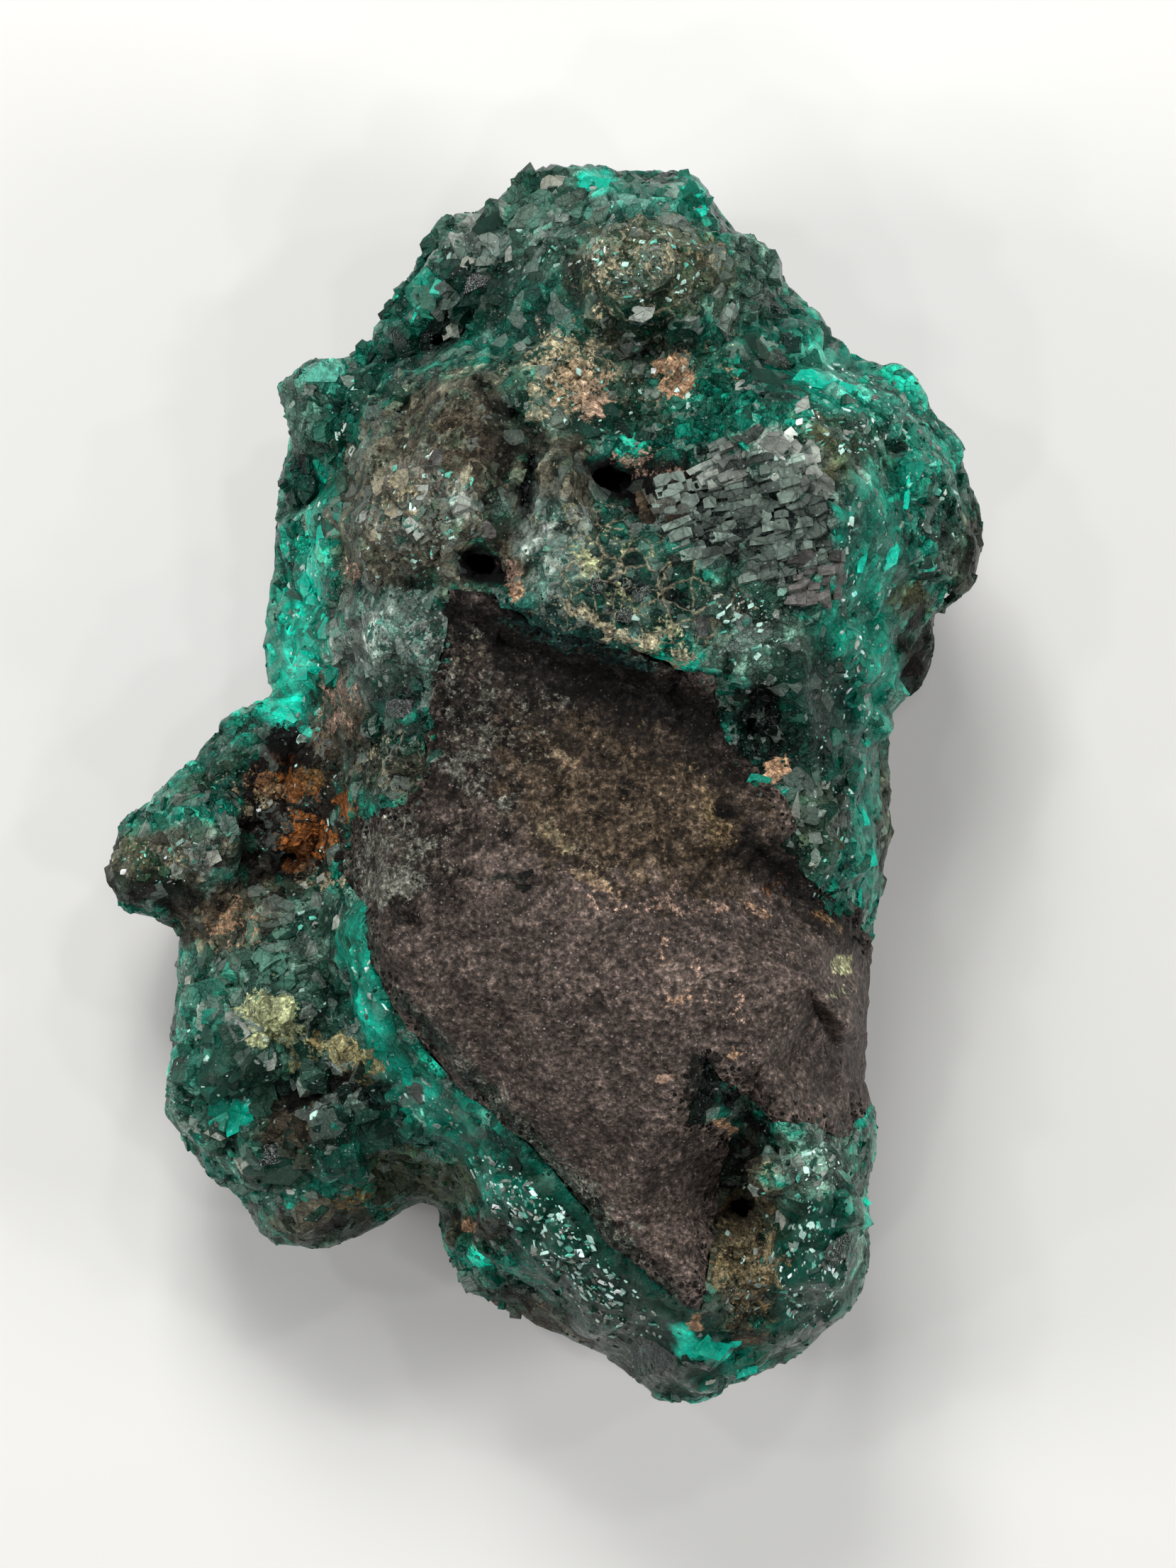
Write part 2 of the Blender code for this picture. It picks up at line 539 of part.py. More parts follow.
def rock_top(x, y):
    """Height of the rock under the crystals."""
    height = ROCK_TOP + 0.9 * noise.noise(Vector((x, y, 0.0)) * 0.21)
    for rise_x, rise_y, reach, rise in ROCK_RISES:
        distance = ((x - rise_x) ** 2 + (y - rise_y) ** 2) / reach ** 2
        height += rise * math.exp(-distance)
    return height


def rock_form(name, growth):
    """Closed form that holds the rock: its base and the plug up to the bare face."""
    base = bmesh.new()
    bmesh.ops.create_grid(base, x_segments=9, y_segments=12, size=1.0)
    bmesh.ops.scale(base, vec=(28.0, 36.0, 1.0), verts=base.verts)
    for vert in base.verts:
        vert.co.z = rock_top(vert.co.x, vert.co.y) + growth
    bmesh.ops.triangulate(base, faces=base.faces[:], quad_method="FIXED")
    close_downwards(base, -ROCK_SKIRT)
    plug = bmesh.new()
    ring = offset_ring(ROCK_FACE, growth)
    plug.faces.new([plug.verts.new((place.x, place.y, SKY)) for place in ring])
    close_downwards(plug, 0.0)
    form = to_object(name, base)
    top = to_object(name + "_plug", plug)
    cut(form, top, "UNION")
    return form


def close_downwards(mesh, floor):
    """Extrude an open sheet down to a flat floor."""
    made = bmesh.ops.extrude_face_region(mesh, geom=mesh.faces[:])
    for item in made["geom"]:
        if isinstance(item, bmesh.types.BMVert):
            item.co.z = floor
    bmesh.ops.recalc_face_normals(mesh, faces=mesh.faces)


def cut(thing, tool, operation):
    """Apply a Boolean and drop its tool.

    The solver is MANIFOLD, because EXACT leaves open edges where the crystals' facets cross.
    """
    modifier = thing.modifiers.new(operation.title(), "BOOLEAN")
    modifier.operation = operation
    modifier.solver = "MANIFOLD"
    modifier.object = tool
    apply_modifiers(thing)
    bpy.data.objects.remove(tool, do_unlink=True)


def apply_modifiers(thing):
    """Replace an object's mesh with its evaluated mesh."""
    graph = bpy.context.evaluated_depsgraph_get()
    data = bpy.data.meshes.new_from_object(thing.evaluated_get(graph))
    thing.modifiers.clear()
    thing.data = data


def keep_main_body(thing):
    """Delete crumbs that the cuts leave, and triangulate what stays."""
    mesh = bmesh.new()
    mesh.from_mesh(thing.data)
    bmesh.ops.triangulate(mesh, faces=mesh.faces[:])
    islands = []
    waiting = set(mesh.verts)
    while waiting:
        island = {waiting.pop()}
        front = list(island)
        while front:
            vert = front.pop()
            for edge in vert.link_edges:
                other = edge.other_vert(vert)
                if other not in island:
                    island.add(other)
                    front.append(other)
        waiting -= island
        islands.append(island)
    largest = max(islands, key=len)
    crumbs = [vert for vert in mesh.verts if vert not in largest]
    bmesh.ops.delete(mesh, geom=crumbs, context="VERTS")
    bmesh.ops.recalc_face_normals(mesh, faces=mesh.faces[:])
    mesh.to_mesh(thing.data)
    mesh.free()


def material(name, colour, roughness):
    """A Principled material."""
    made = bpy.data.materials.new(name)
    made.use_nodes = True
    shader = made.node_tree.nodes["Principled BSDF"]
    shader.inputs["Base Color"].default_value = colour
    shader.inputs["Roughness"].default_value = roughness
    shader.inputs["Metallic"].default_value = 0.0
    return made


def dress(thing, surface_material):
    """Give an object its one material and flat facets."""
    thing.data.materials.clear()
    thing.data.materials.append(surface_material)
    thing.data.shade_flat()


def main():
    """Build the rock and the crystals around it."""
    for thing in list(bpy.data.objects):
        bpy.data.objects.remove(thing, do_unlink=True)

    lump = body_mesh()
    surface = BVHTree.FromBMesh(lump)
    batches = crystal_batches(surface)

    rock = to_object("matrix_rock", lump.copy())
    dioptase = to_object("dioptase_mass", lump)
    for batch in batches:
        cut(dioptase, to_object("crystals", batch), "UNION")
    cut(dioptase, to_object("pits", pits_mesh()), "DIFFERENCE")
    cut(dioptase, rock_form("grown_rock", SEAM_GAP / UNIT), "DIFFERENCE")
    cut(rock, rock_form("rock", 0.0), "INTERSECT")
    keep_main_body(dioptase)
    keep_main_body(rock)

    dress(dioptase, material("dioptase", DIOPTASE_COLOUR, 0.18))
    dress(rock, material("rock", ROCK_COLOUR, 0.82))


main()
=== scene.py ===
"""Dresses a dioptase specimen: a crust of green crystals round a bare face of brown host rock.

Laid out as a Blender add-on and run as a script. Lengths in the tables are millimetres in the
frame of the solids: x across, y along the specimen, z up from the face that it rests on.
"""

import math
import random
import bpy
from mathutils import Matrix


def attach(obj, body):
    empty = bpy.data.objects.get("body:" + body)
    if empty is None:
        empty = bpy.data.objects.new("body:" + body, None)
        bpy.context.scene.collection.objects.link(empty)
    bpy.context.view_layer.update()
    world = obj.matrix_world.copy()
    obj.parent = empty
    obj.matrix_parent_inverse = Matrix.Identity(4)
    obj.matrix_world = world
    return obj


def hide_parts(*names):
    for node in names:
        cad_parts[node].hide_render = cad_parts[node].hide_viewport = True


bl_info = {
    "name": "Dioptase Specimen",
    "version": (1, 0, 0),
    "blender": (4, 5, 0),
    "location": "3D View > Sidebar > Specimen",
    "description": "Builds the crystals, the rock and the stage of a dioptase specimen",
    "category": "Add Mesh",
}

import bmesh
import bpy
import numpy as np
from bpy.props import FloatProperty, FloatVectorProperty, IntProperty, PointerProperty
from bpy.types import Operator, Panel, PropertyGroup
from mathutils import Matrix, Vector, noise
from mathutils.bvhtree import BVHTree

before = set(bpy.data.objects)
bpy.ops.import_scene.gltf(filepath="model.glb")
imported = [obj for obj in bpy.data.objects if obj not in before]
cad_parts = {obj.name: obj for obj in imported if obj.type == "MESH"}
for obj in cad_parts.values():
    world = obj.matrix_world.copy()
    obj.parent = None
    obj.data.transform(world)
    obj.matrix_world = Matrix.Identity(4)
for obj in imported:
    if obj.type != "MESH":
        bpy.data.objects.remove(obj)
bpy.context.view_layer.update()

MM = 0.001

# Heights in millimetres: over the whole specimen, where rays down to it start, the lowest ground for
# crystals of the upper side, the floor of the deep pits and the top of the crust's foot.
ABOVE = 45.0
LOWEST_GROUND = 7.0
PIT_FLOOR = 9.0
FOOT_TOP = 12.0

# Marks of a face while a node's copy is dressed: free, or lying against the other node.
OPEN, CONTACT = 0, 1

# Sockets of a Mix node that hold colours.
FIRST_COLOUR, SECOND_COLOUR, MIXED_COLOUR = 6, 7, 2

# Sockets of the node groups that hold vectors. All others hold numbers.
VECTOR_SOCKETS = ("Tilt", "Normal", "Direction", "Coarse tilt", "Fine tilt", "Surface")

# Tints: red, green and blue as on a screen, roughness, strength of the facets, share of glints.
TINTS = {
    # Painted glow: teal brightened where light passes through the thin edges of the crystals.
    "bright teal": ((10, 176, 150), 0.14, 0.25, 0.5),
    "teal": ((1, 108, 89), 0.09, 0.25, 0.3),
    "sea green": ((8, 88, 72), 0.13, 0.65, 0.5),
    "emerald": ((0, 40, 29), 0.07, 0.12, 0.08),
    "deep green": ((3, 36, 27), 0.08, 0.4, 0.3),
    "black green": ((6, 13, 10), 0.12, 0.6, 0.3),
    # Painted shade for the mouths of deep pits.
    "pit black": ((3, 3, 3), 0.8, 0.3, 0.0),
    "pale teal": ((84, 164, 144), 0.28, 0.35, 0.5),
    "grey green": ((70, 90, 79), 0.24, 0.65, 0.4),
    "patina": ((124, 136, 127), 0.44, 0.6, 0.7),
    "brow green": ((20, 48, 43), 0.34, 0.5, 0.5),
    # Painted glint, for the flakes.
    "glint": ((164, 198, 187), 0.12, 0.1, 0.0),
    "clear green": ((36, 138, 106), 0.05, 0.1, 0.0),
    # Painted silvery reflection of facets that face the light.
    "silver": ((134, 140, 132), 0.22, 0.5, 0.3),
    "lilac grey": ((94, 92, 89), 0.3, 0.5, 0.2),
    "cream chip": ((132, 127, 108), 0.3, 0.5, 0.3),
    "pale": ((146, 150, 138), 0.25, 0.4, 0.3),
    "olive": ((74, 76, 54), 0.4, 0.5, 0.4),
    "stone brown": ((105, 102, 86), 0.45, 0.6, 0.3),
    "brown": ((66, 56, 44), 0.5, 0.6, 0.3),
    "dark brown": ((32, 26, 22), 0.6, 0.5, 0.2),
    "purple brown": ((66, 57, 52), 0.5, 0.2, 0.5),
    "olive brown": ((62, 52, 41), 0.55, 0.7, 0.3),
    "dark rock": ((38, 33, 29), 0.6, 0.9, 0.5),
    # Black rock, mostly laid as painted shadow under the brow and in recesses.
    "black rock": ((14, 12, 11), 0.7, 0.9, 0.2),
    "slate": ((72, 83, 76), 0.16, 0.75, 0.4),
}

# Stains lie over the tints as grains, thinning out towards their edges.
STAINS = {
    "lichen": (150, 155, 116),
    "ochre": (112, 96, 70),
    "cream": (158, 150, 122),
    "copper": (158, 126, 98),
    "pink": (160, 132, 114),
    "rust": (150, 90, 42),
    "gold brown": (112, 92, 58),
    "grey dust": (112, 112, 102),
    # Painted shade, laid as dark grains in cracks, troughs, pockets and beside pits.
    "soot": (11, 10, 9),
}

# Screen colours that the broken facets and the standing crystals of the crust vary towards. The silvery one
# is a painted reflection on standing crystals that face the light.
FROSTED = (92, 112, 102)
PAINTED_SILVER_SHEEN = (118, 130, 121)

# Chances up to which a standing crystal is painted deeper and, past the ones with a painted silvery
# reflection, brighter with a painted glow.
DEEP_CHANCE = 0.38
BRIGHT_CHANCE = 0.6

# Linear colours of the finest marks in the materials. The gleam and the two dot colours are painted glints;
# the rock's gap colour is painted shade in the sunken gaps between its grains.
POWDER = (0.007, 0.014, 0.012)
FROST = (0.2, 0.25, 0.22, 1.0)
VEIN = (0.4, 0.36, 0.24)
GLEAM = (0.1, 0.16, 0.15)
CRYSTAL_GLINT_DOT = (0.5, 0.62, 0.58, 1.0)
ROCK_GLINT_DOT = (0.4, 0.33, 0.3, 1.0)
ROCK_GAP_SHADE = (0.006, 0.005, 0.004, 1.0)

# Crystal finishes: facets per metre, lean of the coarse and of the fine facets, range of their
# shades, share of light that passes through.
CRYSTAL_FINISHES = {
    "dioptase crust": (1250.0, 0.9, 0.9, 0.75, 0.0),
    "dioptase crystals": (700.0, 0.3, 0.5, 0.35, 0.0),
    "split crystal": (500.0, 0.12, 0.3, 0.35, 0.0),
    "clear dioptase": (500.0, 0.1, 0.1, 0.1, 1.0),
}

# Patches of the rock face: colour, x, y, half width, half length, turn in degrees, strength.
ROCK_PATCHES = [
    ("dark rock", -1.5, 3.5, 6.5, 5.5, 0, 0.9),
    ("olive brown", 4.0, -0.6, 5.6, 4.0, -25, 0.95),
    ("olive brown", 7.8, -2.0, 2.4, 2.6, 0, 0.8),
    ("dark rock", -6.4, -3.4, 3.2, 2.6, 0, 0.9),
    ("grey dust", -6.6, -3.0, 2.8, 2.4, 10, 0.6),
    ("grey dust", -6.9, -4.6, 1.6, 1.0, 25, 0.8),
    ("grey dust", -3.4, 2.6, 1.8, 5.6, 5, 0.56),
    ("grey dust", -0.8, 1.6, 2.8, 4.4, 0, 0.46),
    ("cream", -3.2, 6.0, 1.2, 0.8, 0, 0.45),
    ("ochre", 3.4, 0.2, 5.0, 3.4, -30, 0.2),
    ("dark brown", 1.4, 1.8, 0.5, 3.4, 55, 0.7),
    ("dark brown", 4.6, 2.2, 0.7, 3.6, 62, 0.8),
    # Painted shadow under the brow.
    ("black rock", -0.6, 4.4, 0.6, 2.0, 50, 0.7),
    ("ochre", 0.8, -2.5, 1.6, 0.5, -35, 0.8),
    ("ochre", 2.4, -4.4, 1.7, 0.4, -30, 0.75),
    ("ochre", 0.9, 1.2, 1.2, 0.3, -20, 0.6),
    ("ochre", 7.9, -1.4, 0.5, 1.6, 30, 0.8),
    ("cream", 2.8, -3.7, 2.0, 0.6, -20, 0.5),
    ("pink", 4.8, -5.2, 3.6, 1.3, -8, 0.46),
    ("pink", 6.4, -8.6, 3.6, 2.8, 0, 0.4),
    ("ochre", 8.2, -2.1, 1.3, 0.7, 10, 0.65),
    ("ochre", 6.0, 1.4, 3.0, 0.8, -35, 0.45),
    # Painted shadow under the brow and in the shadowed recess at the right.
    ("black rock", 3.2, 4.8, 6.4, 1.5, -22, 0.9),
    ("black rock", -2.8, 7.6, 2.0, 1.3, -20, 0.8),
    ("black rock", 8.0, 1.4, 1.2, 3.2, 25, 0.8),
    ("black rock", 11.2, -4.4, 4.2, 1.2, -38, 0.85),
    ("rust", 10.8, -4.9, 2.6, 0.9, -38, 0.35),
    ("dark brown", 13.4, -6.4, 1.6, 0.9, -32, 0.8),
    ("gold brown", 13.3, -6.6, 1.3, 0.5, -32, 0.6),
    ("copper", 9.6, -5.7, 1.3, 0.35, -40, 0.6),
    ("pink", 8.0, -5.7, 0.5, 0.4, 0, 0.7),
    ("lichen", 13.7, -8.4, 0.7, 0.5, 0, 1.0),
    ("lichen", 13.4, -9.6, 0.6, 0.4, 0, 0.6),
    ("pink", 5.7, -13.3, 0.6, 0.25, 10, 0.85),
    ("pink", 9.3, -10.3, 0.8, 1.7, 0, 0.5),
    ("copper", 5.9, -9.9, 0.8, 0.4, 20, 0.6),
    ("copper", 8.6, -12.2, 0.5, 0.4, 0, 0.6),
    ("pink", 10.6, -8.0, 3.6, 1.6, 0, 0.3),
    ("grey dust", 1.4, -13.4, 3.6, 3.0, 0, 0.22),
    ("grey dust", 12.6, -11.4, 1.6, 1.4, 0, 0.3),
    # Painted shade: dark grains in the shallow trough and in the cracks, and black green in the crack above
    # the pocket.
    ("soot", -1.8, -11.9, 2.2, 0.6, 18, 0.35),
    ("soot", -1.2, -4.1, 1.5, 0.22, 10, 0.95),
    ("soot", -0.8, -4.7, 0.35, 0.3, 0, 1.0),
    ("black green", 7.4, -13.4, 0.8, 1.5, -10, 0.9),
    ("soot", 9.6, -14.6, 2.2, 0.5, -38, 0.6),
    ("grey dust", -0.1, -16.1, 0.9, 10.5, 42, 0.5),
    ("deep green", -0.2, -16.4, 0.45, 10.5, 42, 0.7),
    ("deep green", -7.7, -7.6, 0.4, 1.8, 8, 0.6),
    ("brow green", 2.0, 6.5, 3.6, 0.35, -16, 0.7),
    # Painted shade in the furrow along the patina's edge.
    ("black rock", -4.0, 5.6, 0.4, 3.6, 4, 0.6),
]

# Patches of the crystal crust, in the same order of values, laid one over the other.
CRUST_PATCHES = [
    # Upper dome.
    ("deep green", 0.0, 24.0, 9.5, 5.5, 0, 0.4),
    ("grey green", 0.5, 26.2, 5.5, 2.6, 0, 0.55),
    ("silver", -3.6, 25.2, 1.6, 0.9, 35, 0.3),
    ("pale teal", 4.8, 26.8, 2.0, 1.0, 0, 0.5),
    ("bright teal", 2.6, 28.1, 1.0, 0.7, 0, 0.9),
    ("teal", 7.1, 27.5, 1.0, 1.3, -20, 0.8),
    ("black green", -0.5, 22.6, 2.6, 2.0, 0, 0.3),
    ("emerald", -2.6, 26.0, 1.1, 0.8, 0, 0.7),
    ("deep green", -3.4, 22.6, 2.4, 1.4, 20, 0.9),
    ("black green", -4.9, 20.8, 1.2, 1.3, 0, 0.9),
    ("teal", -5.8, 22.6, 0.8, 1.8, -25, 0.8),
    ("sea green", -7.4, 20.6, 1.4, 2.2, -35, 0.8),
    ("grey dust", -2.0, 23.4, 3.0, 2.0, 20, 0.3),
    ("grey green", 9.8, 24.2, 1.8, 3.2, -38, 0.85),
    ("grey dust", 9.8, 24.2, 1.6, 2.6, -38, 0.3),
    ("emerald", 10.6, 20.6, 2.0, 1.0, -10, 0.8),
    ("deep green", 10.6, 18.4, 2.2, 1.4, 0, 0.8),
    # Nodule.
    ("olive", 5.0, 23.6, 3.2, 2.2, 0, 0.8),
    ("deep green", 4.2, 23.0, 1.8, 1.5, 0, 0.6),
    ("cream", 4.6, 24.2, 3.0, 1.6, 0, 0.5),
    ("gold brown", 7.8, 24.5, 1.2, 0.9, -20, 0.5),
    ("cream", 3.0, 22.6, 1.0, 1.4, 30, 0.5),
    ("emerald", 3.2, 21.6, 1.4, 0.8, -20, 0.8),
    ("deep green", 4.8, 20.6, 2.6, 0.8, 0, 0.95),
    # Copper stained ground.
    ("brown", 3.0, 18.4, 4.4, 2.4, 0, 0.5),
    ("cream", 1.2, 18.9, 2.8, 2.3, 20, 0.62),
    ("copper", 1.9, 18.2, 1.6, 1.3, 20, 0.7),
    ("pink", 2.6, 17.7, 0.7, 0.8, 20, 0.7),
    ("pink", 2.2, 17.2, 0.8, 0.6, 0, 0.75),
    ("copper", 6.0, 18.6, 1.2, 1.6, 0, 0.75),
    ("copper", 8.6, 18.9, 0.8, 0.5, 0, 0.5),
    ("copper", 2.0, 21.2, 0.8, 0.4, 0, 0.45),
    ("deep green", 2.8, 16.5, 1.7, 0.8, 0, 0.9),
    ("pink", 4.8, 14.9, 1.6, 0.6, 0, 0.5),
    ("sea green", 7.6, 17.2, 2.4, 2.0, 0, 0.7),
    ("cream", 8.6, 20.6, 1.8, 1.6, 0, 0.35),
    # Left strip.
    ("sea green", -10.6, 12.0, 2.2, 8.6, 0, 0.7),
    ("teal", -11.0, 6.0, 1.5, 3.8, 0, 0.9),
    ("bright teal", -11.3, 5.2, 0.8, 2.4, 0, 0.9),
    ("bright teal", -10.7, 9.2, 0.6, 1.6, -10, 0.9),
    ("bright teal", -10.4, 12.0, 0.5, 1.6, 0, 0.7),
    ("teal", -10.0, 13.6, 0.9, 2.4, 0, 0.8),
    ("black green", -11.4, 14.6, 0.8, 1.8, 0, 0.7),
    ("grey green", -11.2, 17.4, 1.2, 1.8, 0, 0.6),
    ("pale teal", -10.4, 19.2, 1.0, 0.7, 0, 0.7),
    ("deep green", -8.2, 17.6, 1.8, 3.2, -25, 0.6),
    ("bright teal", -12.0, 3.2, 1.4, 0.7, -30, 0.9),
    # Brown lump and the fin beside it.
    ("stone brown", -5.0, 13.6, 3.9, 5.3, -36, 1.0),
    ("stone brown", -7.0, 10.6, 2.4, 1.5, 0, 0.9),
    ("brown", -3.6, 16.4, 2.4, 2.0, -30, 0.8),
    ("dark brown", -1.8, 15.0, 1.2, 1.4, -30, 0.6),
    ("cream", -6.4, 12.9, 1.5, 1.6, -20, 0.55),
    ("pink", -8.8, 10.0, 0.7, 1.0, 0, 0.5),
    ("cream", -4.6, 16.6, 1.6, 1.6, -36, 0.3),
    ("silver", -3.6, 12.8, 0.8, 0.7, 0, 0.6),
    ("dark brown", 0.8, 13.2, 1.5, 2.6, 0, 0.9),
    ("stone brown", 0.8, 13.4, 1.7, 2.7, 0, 0.9),
    ("cream", 1.2, 13.6, 1.2, 2.2, 0, 0.35),
    ("black green", -0.5, 13.5, 0.4, 1.8, -8, 1.0),
    ("brown", -1.0, 10.2, 1.0, 1.6, 10, 0.9),
    ("pink", -1.5, 9.7, 0.6, 0.9, 20, 0.6),
    ("copper", -1.0, 8.9, 0.7, 0.5, 0, 0.7),
    ("black green", -3.0, 17.6, 1.2, 1.0, 0, 0.4),
    # Cleavage field.
    ("slate", 9.6, 12.0, 5.4, 3.4, 10, 0.9),
    # Painted shade: the crust under the slab beds is black green so that the gaps between slabs read dark.
    ("black green", 9.6, 11.8, 4.8, 2.7, 12, 0.95),
    ("dark brown", 5.4, 13.5, 2.6, 1.2, -5, 1.0),
    ("pink", 5.0, 14.2, 1.4, 0.4, 5, 0.5),
    ("silver", 11.2, 14.6, 0.9, 1.9, 37, 0.6),
    ("olive", 14.0, 15.8, 2.2, 1.9, -10, 0.9),
    ("cream", 13.4, 16.4, 2.2, 1.4, -10, 0.35),
    # Right shoulder, knob and flank.
    ("teal", 13.4, 18.8, 3.4, 1.7, -28, 0.9),
    ("pale teal", 13.0, 19.2, 2.2, 0.9, -25, 0.8),
    ("sea green", 16.4, 16.4, 2.6, 2.6, -40, 0.7),
    ("pale teal", 16.8, 16.6, 2.4, 0.5, -42, 0.5),
    ("teal", 17.3, 14.2, 0.8, 1.8, 0, 0.8),
    ("teal", 15.2, 9.8, 1.8, 4.8, 0, 0.75),
    ("brown", 19.6, 11.0, 1.2, 2.8, 10, 0.85),
    ("sea green", 19.0, 14.2, 1.2, 2.0, 20, 0.8),
    ("sea green", 18.0, 12.4, 1.6, 2.4, 0, 0.5),
    ("olive", 17.1, 8.7, 1.1, 0.8, 0, 0.8),
    ("dark brown", 17.6, 6.2, 1.2, 1.8, 0, 0.9),
    ("teal", 14.4, 3.6, 2.0, 4.8, 0, 0.85),
    ("deep green", 12.0, 4.4, 1.8, 2.6, 0, 0.8),
    ("black green", 9.8, 2.6, 1.6, 2.6, 10, 0.95),
    ("black green", 12.0, 1.0, 1.0, 1.6, 0, 0.8),
    ("black green", 11.6, -2.6, 0.9, 1.2, 0, 0.8),
    ("deep green", 13.4, -0.6, 1.0, 1.4, 0, 0.8),
    ("copper", 10.9, 0.7, 0.6, 0.5, 0, 0.9),
    ("deep green", 12.8, 1.0, 1.6, 5.4, 0, 0.75),
    ("olive", 12.4, -1.8, 1.3, 1.6, -10, 0.3),
    ("teal", 15.0, -2.8, 0.9, 3.0, 8, 0.85),
    ("brown", 15.9, -1.6, 0.4, 3.6, 0, 0.8),
    # Network and brow.
    ("sea green", 4.4, 8.8, 4.0, 2.6, -10, 0.6),
    ("emerald", 4.6, 8.8, 3.4, 1.9, -14, 0.85),
    ("deep green", 3.8, 8.2, 2.8, 1.2, -15, 0.8),
    ("patina", 0.8, 10.4, 1.8, 2.6, 0, 0.9),
    ("cream", 2.0, 11.6, 1.4, 1.0, 0, 0.45),
    ("cream", 5.6, 6.6, 1.8, 0.8, -35, 0.6),
    ("grey green", 9.2, 7.2, 2.6, 2.4, 0, 0.8),
    ("cream", 8.6, 8.4, 2.0, 1.2, 0, 0.35),
    ("brow green", 1.2, 7.5, 3.8, 0.9, -14, 0.95),
    ("bright teal", 6.3, 5.5, 1.0, 0.4, -10, 0.9),
    ("patina", -6.8, 6.4, 2.6, 2.9, 0, 1.0),
    ("sea green", -6.6, 5.0, 1.6, 1.4, 0, 0.3),
    ("black green", -6.8, 2.2, 2.0, 2.8, 0, 0.8),
    ("teal", -6.4, 3.5, 1.1, 0.7, 0, 0.7),
    ("brown", -6.2, 0.4, 2.0, 1.0, 0, 0.6),
    ("cream", -7.4, 1.6, 1.0, 1.0, 0, 0.4),
    # Rusty recess and the spur.
    ("dark brown", -11.6, -1.4, 3.0, 4.0, 0, 1.0),
    ("brown", -9.4, 2.6, 1.4, 2.4, 0, 0.9),
    ("pink", -9.4, 3.8, 1.2, 1.6, 0, 0.6),
    ("rust", -12.0, -0.2, 1.6, 1.1, 0, 0.8),
    ("rust", -9.0, -0.9, 0.6, 0.9, 20, 0.7),
    ("gold brown", -10.8, 0.3, 0.8, 0.5, 0, 0.8),
    ("rust", -10.9, -2.6, 1.6, 1.4, 0, 0.75),
    ("cream", -14.0, -0.9, 1.6, 1.5, 0, 0.4),
    # Painted shade beside the pits of the recess.
    ("soot", -12.0, 1.9, 1.1, 0.8, 0, 0.95),
    ("soot", -11.4, -3.5, 1.0, 0.8, 0, 0.95),
    ("cream", -13.0, -0.8, 1.2, 0.6, 20, 0.6),
    ("cream", -10.3, -4.6, 1.3, 0.6, 0, 0.6),
    ("grey green", -17.4, -3.4, 3.0, 1.5, 8, 0.95),
    ("stone brown", -17.8, -3.5, 3.0, 1.3, 8, 0.9),
    ("olive", -19.0, -3.5, 1.4, 1.2, 8, 0.8),
    ("cream", -18.2, -3.4, 2.4, 1.0, 8, 0.5),
    ("silver", -16.0, -3.3, 1.0, 0.8, 0, 0.6),
    ("teal", -18.4, -2.0, 1.6, 0.4, 12, 0.4),
    ("dark brown", -17.4, -5.2, 3.0, 0.7, -10, 0.9),
    ("sea green", -16.0, 0.8, 2.8, 1.3, 38, 0.8),
    ("brown", -15.6, 0.2, 1.8, 0.5, 38, 0.6),
    ("brown", -14.4, -6.4, 3.0, 1.8, 0, 0.9),
    ("copper", -14.6, -6.6, 2.0, 1.5, -30, 0.55),
    ("pink", -15.4, -7.8, 0.6, 0.6, 0, 0.5),
    ("grey green", -10.2, -7.2, 2.2, 1.8, 0, 0.8),
    ("emerald", -10.6, -6.8, 0.9, 0.8, 0, 0.7),
    # Left lobe.
    ("grey green", -13.0, -12.6, 4.6, 5.4, 0, 0.7),
    ("deep green", -11.6, -13.6, 3.4, 4.4, 0, 0.4),
    ("teal", -15.8, -12.0, 1.3, 3.2, 0, 0.4),
    ("emerald", -14.6, -14.0, 1.2, 1.8, 0, 0.7),
    ("lichen", -12.6, -10.8, 1.5, 1.2, -30, 1.1),
    ("lichen", -11.5, -12.6, 0.6, 0.7, 0, 1.0),
    ("gold brown", -8.9, -12.5, 1.9, 0.7, -15, 0.9),
    ("lichen", -8.9, -12.5, 1.8, 0.6, -15, 0.6),
    ("bright teal", -14.3, -15.4, 1.0, 0.7, 0, 1.0),
    ("emerald", -12.2, -17.9, 1.4, 1.4, 0, 0.9),
    ("black green", -8.6, -14.4, 2.6, 1.4, 0, 0.9),
    ("deep green", -8.2, -16.4, 2.2, 1.6, 0, 0.9),
    ("brown", -11.7, -16.0, 1.3, 1.4, 0, 0.9),
    # Painted shade in the holes of the lobe.
    ("soot", -11.4, -14.7, 1.2, 0.7, 0, 1.0),
    ("soot", -9.0, -13.7, 1.0, 0.6, 0, 0.9),
    ("olive", -7.0, -18.0, 2.0, 1.4, 0, 0.8),
    ("brown", -10.4, -20.8, 2.4, 1.2, 0, 0.8),
    ("gold brown", -8.6, -19.4, 1.6, 0.8, 0, 0.6),
    # Green rim round the rock face.
    ("sea green", -8.4, -7.0, 0.9, 2.2, 0, 0.8),
    ("teal", -7.7, -9.8, 1.0, 4.0, 14, 0.95),
    ("bright teal", -7.8, -11.0, 0.5, 1.3, 25, 0.8),
    ("teal", -4.6, -15.2, 1.1, 4.0, 44, 0.95),
    ("bright teal", -5.8, -13.8, 0.5, 1.6, 44, 0.6),
    ("emerald", 0.6, -20.6, 1.8, 5.4, 44, 0.9),
    ("emerald", 1.6, -20.4, 0.9, 5.0, 44, 0.8),
    ("teal", -1.6, -18.8, 0.8, 1.8, 44, 0.7),
    ("bright teal", -2.2, -18.7, 0.5, 0.9, 44, 0.6),
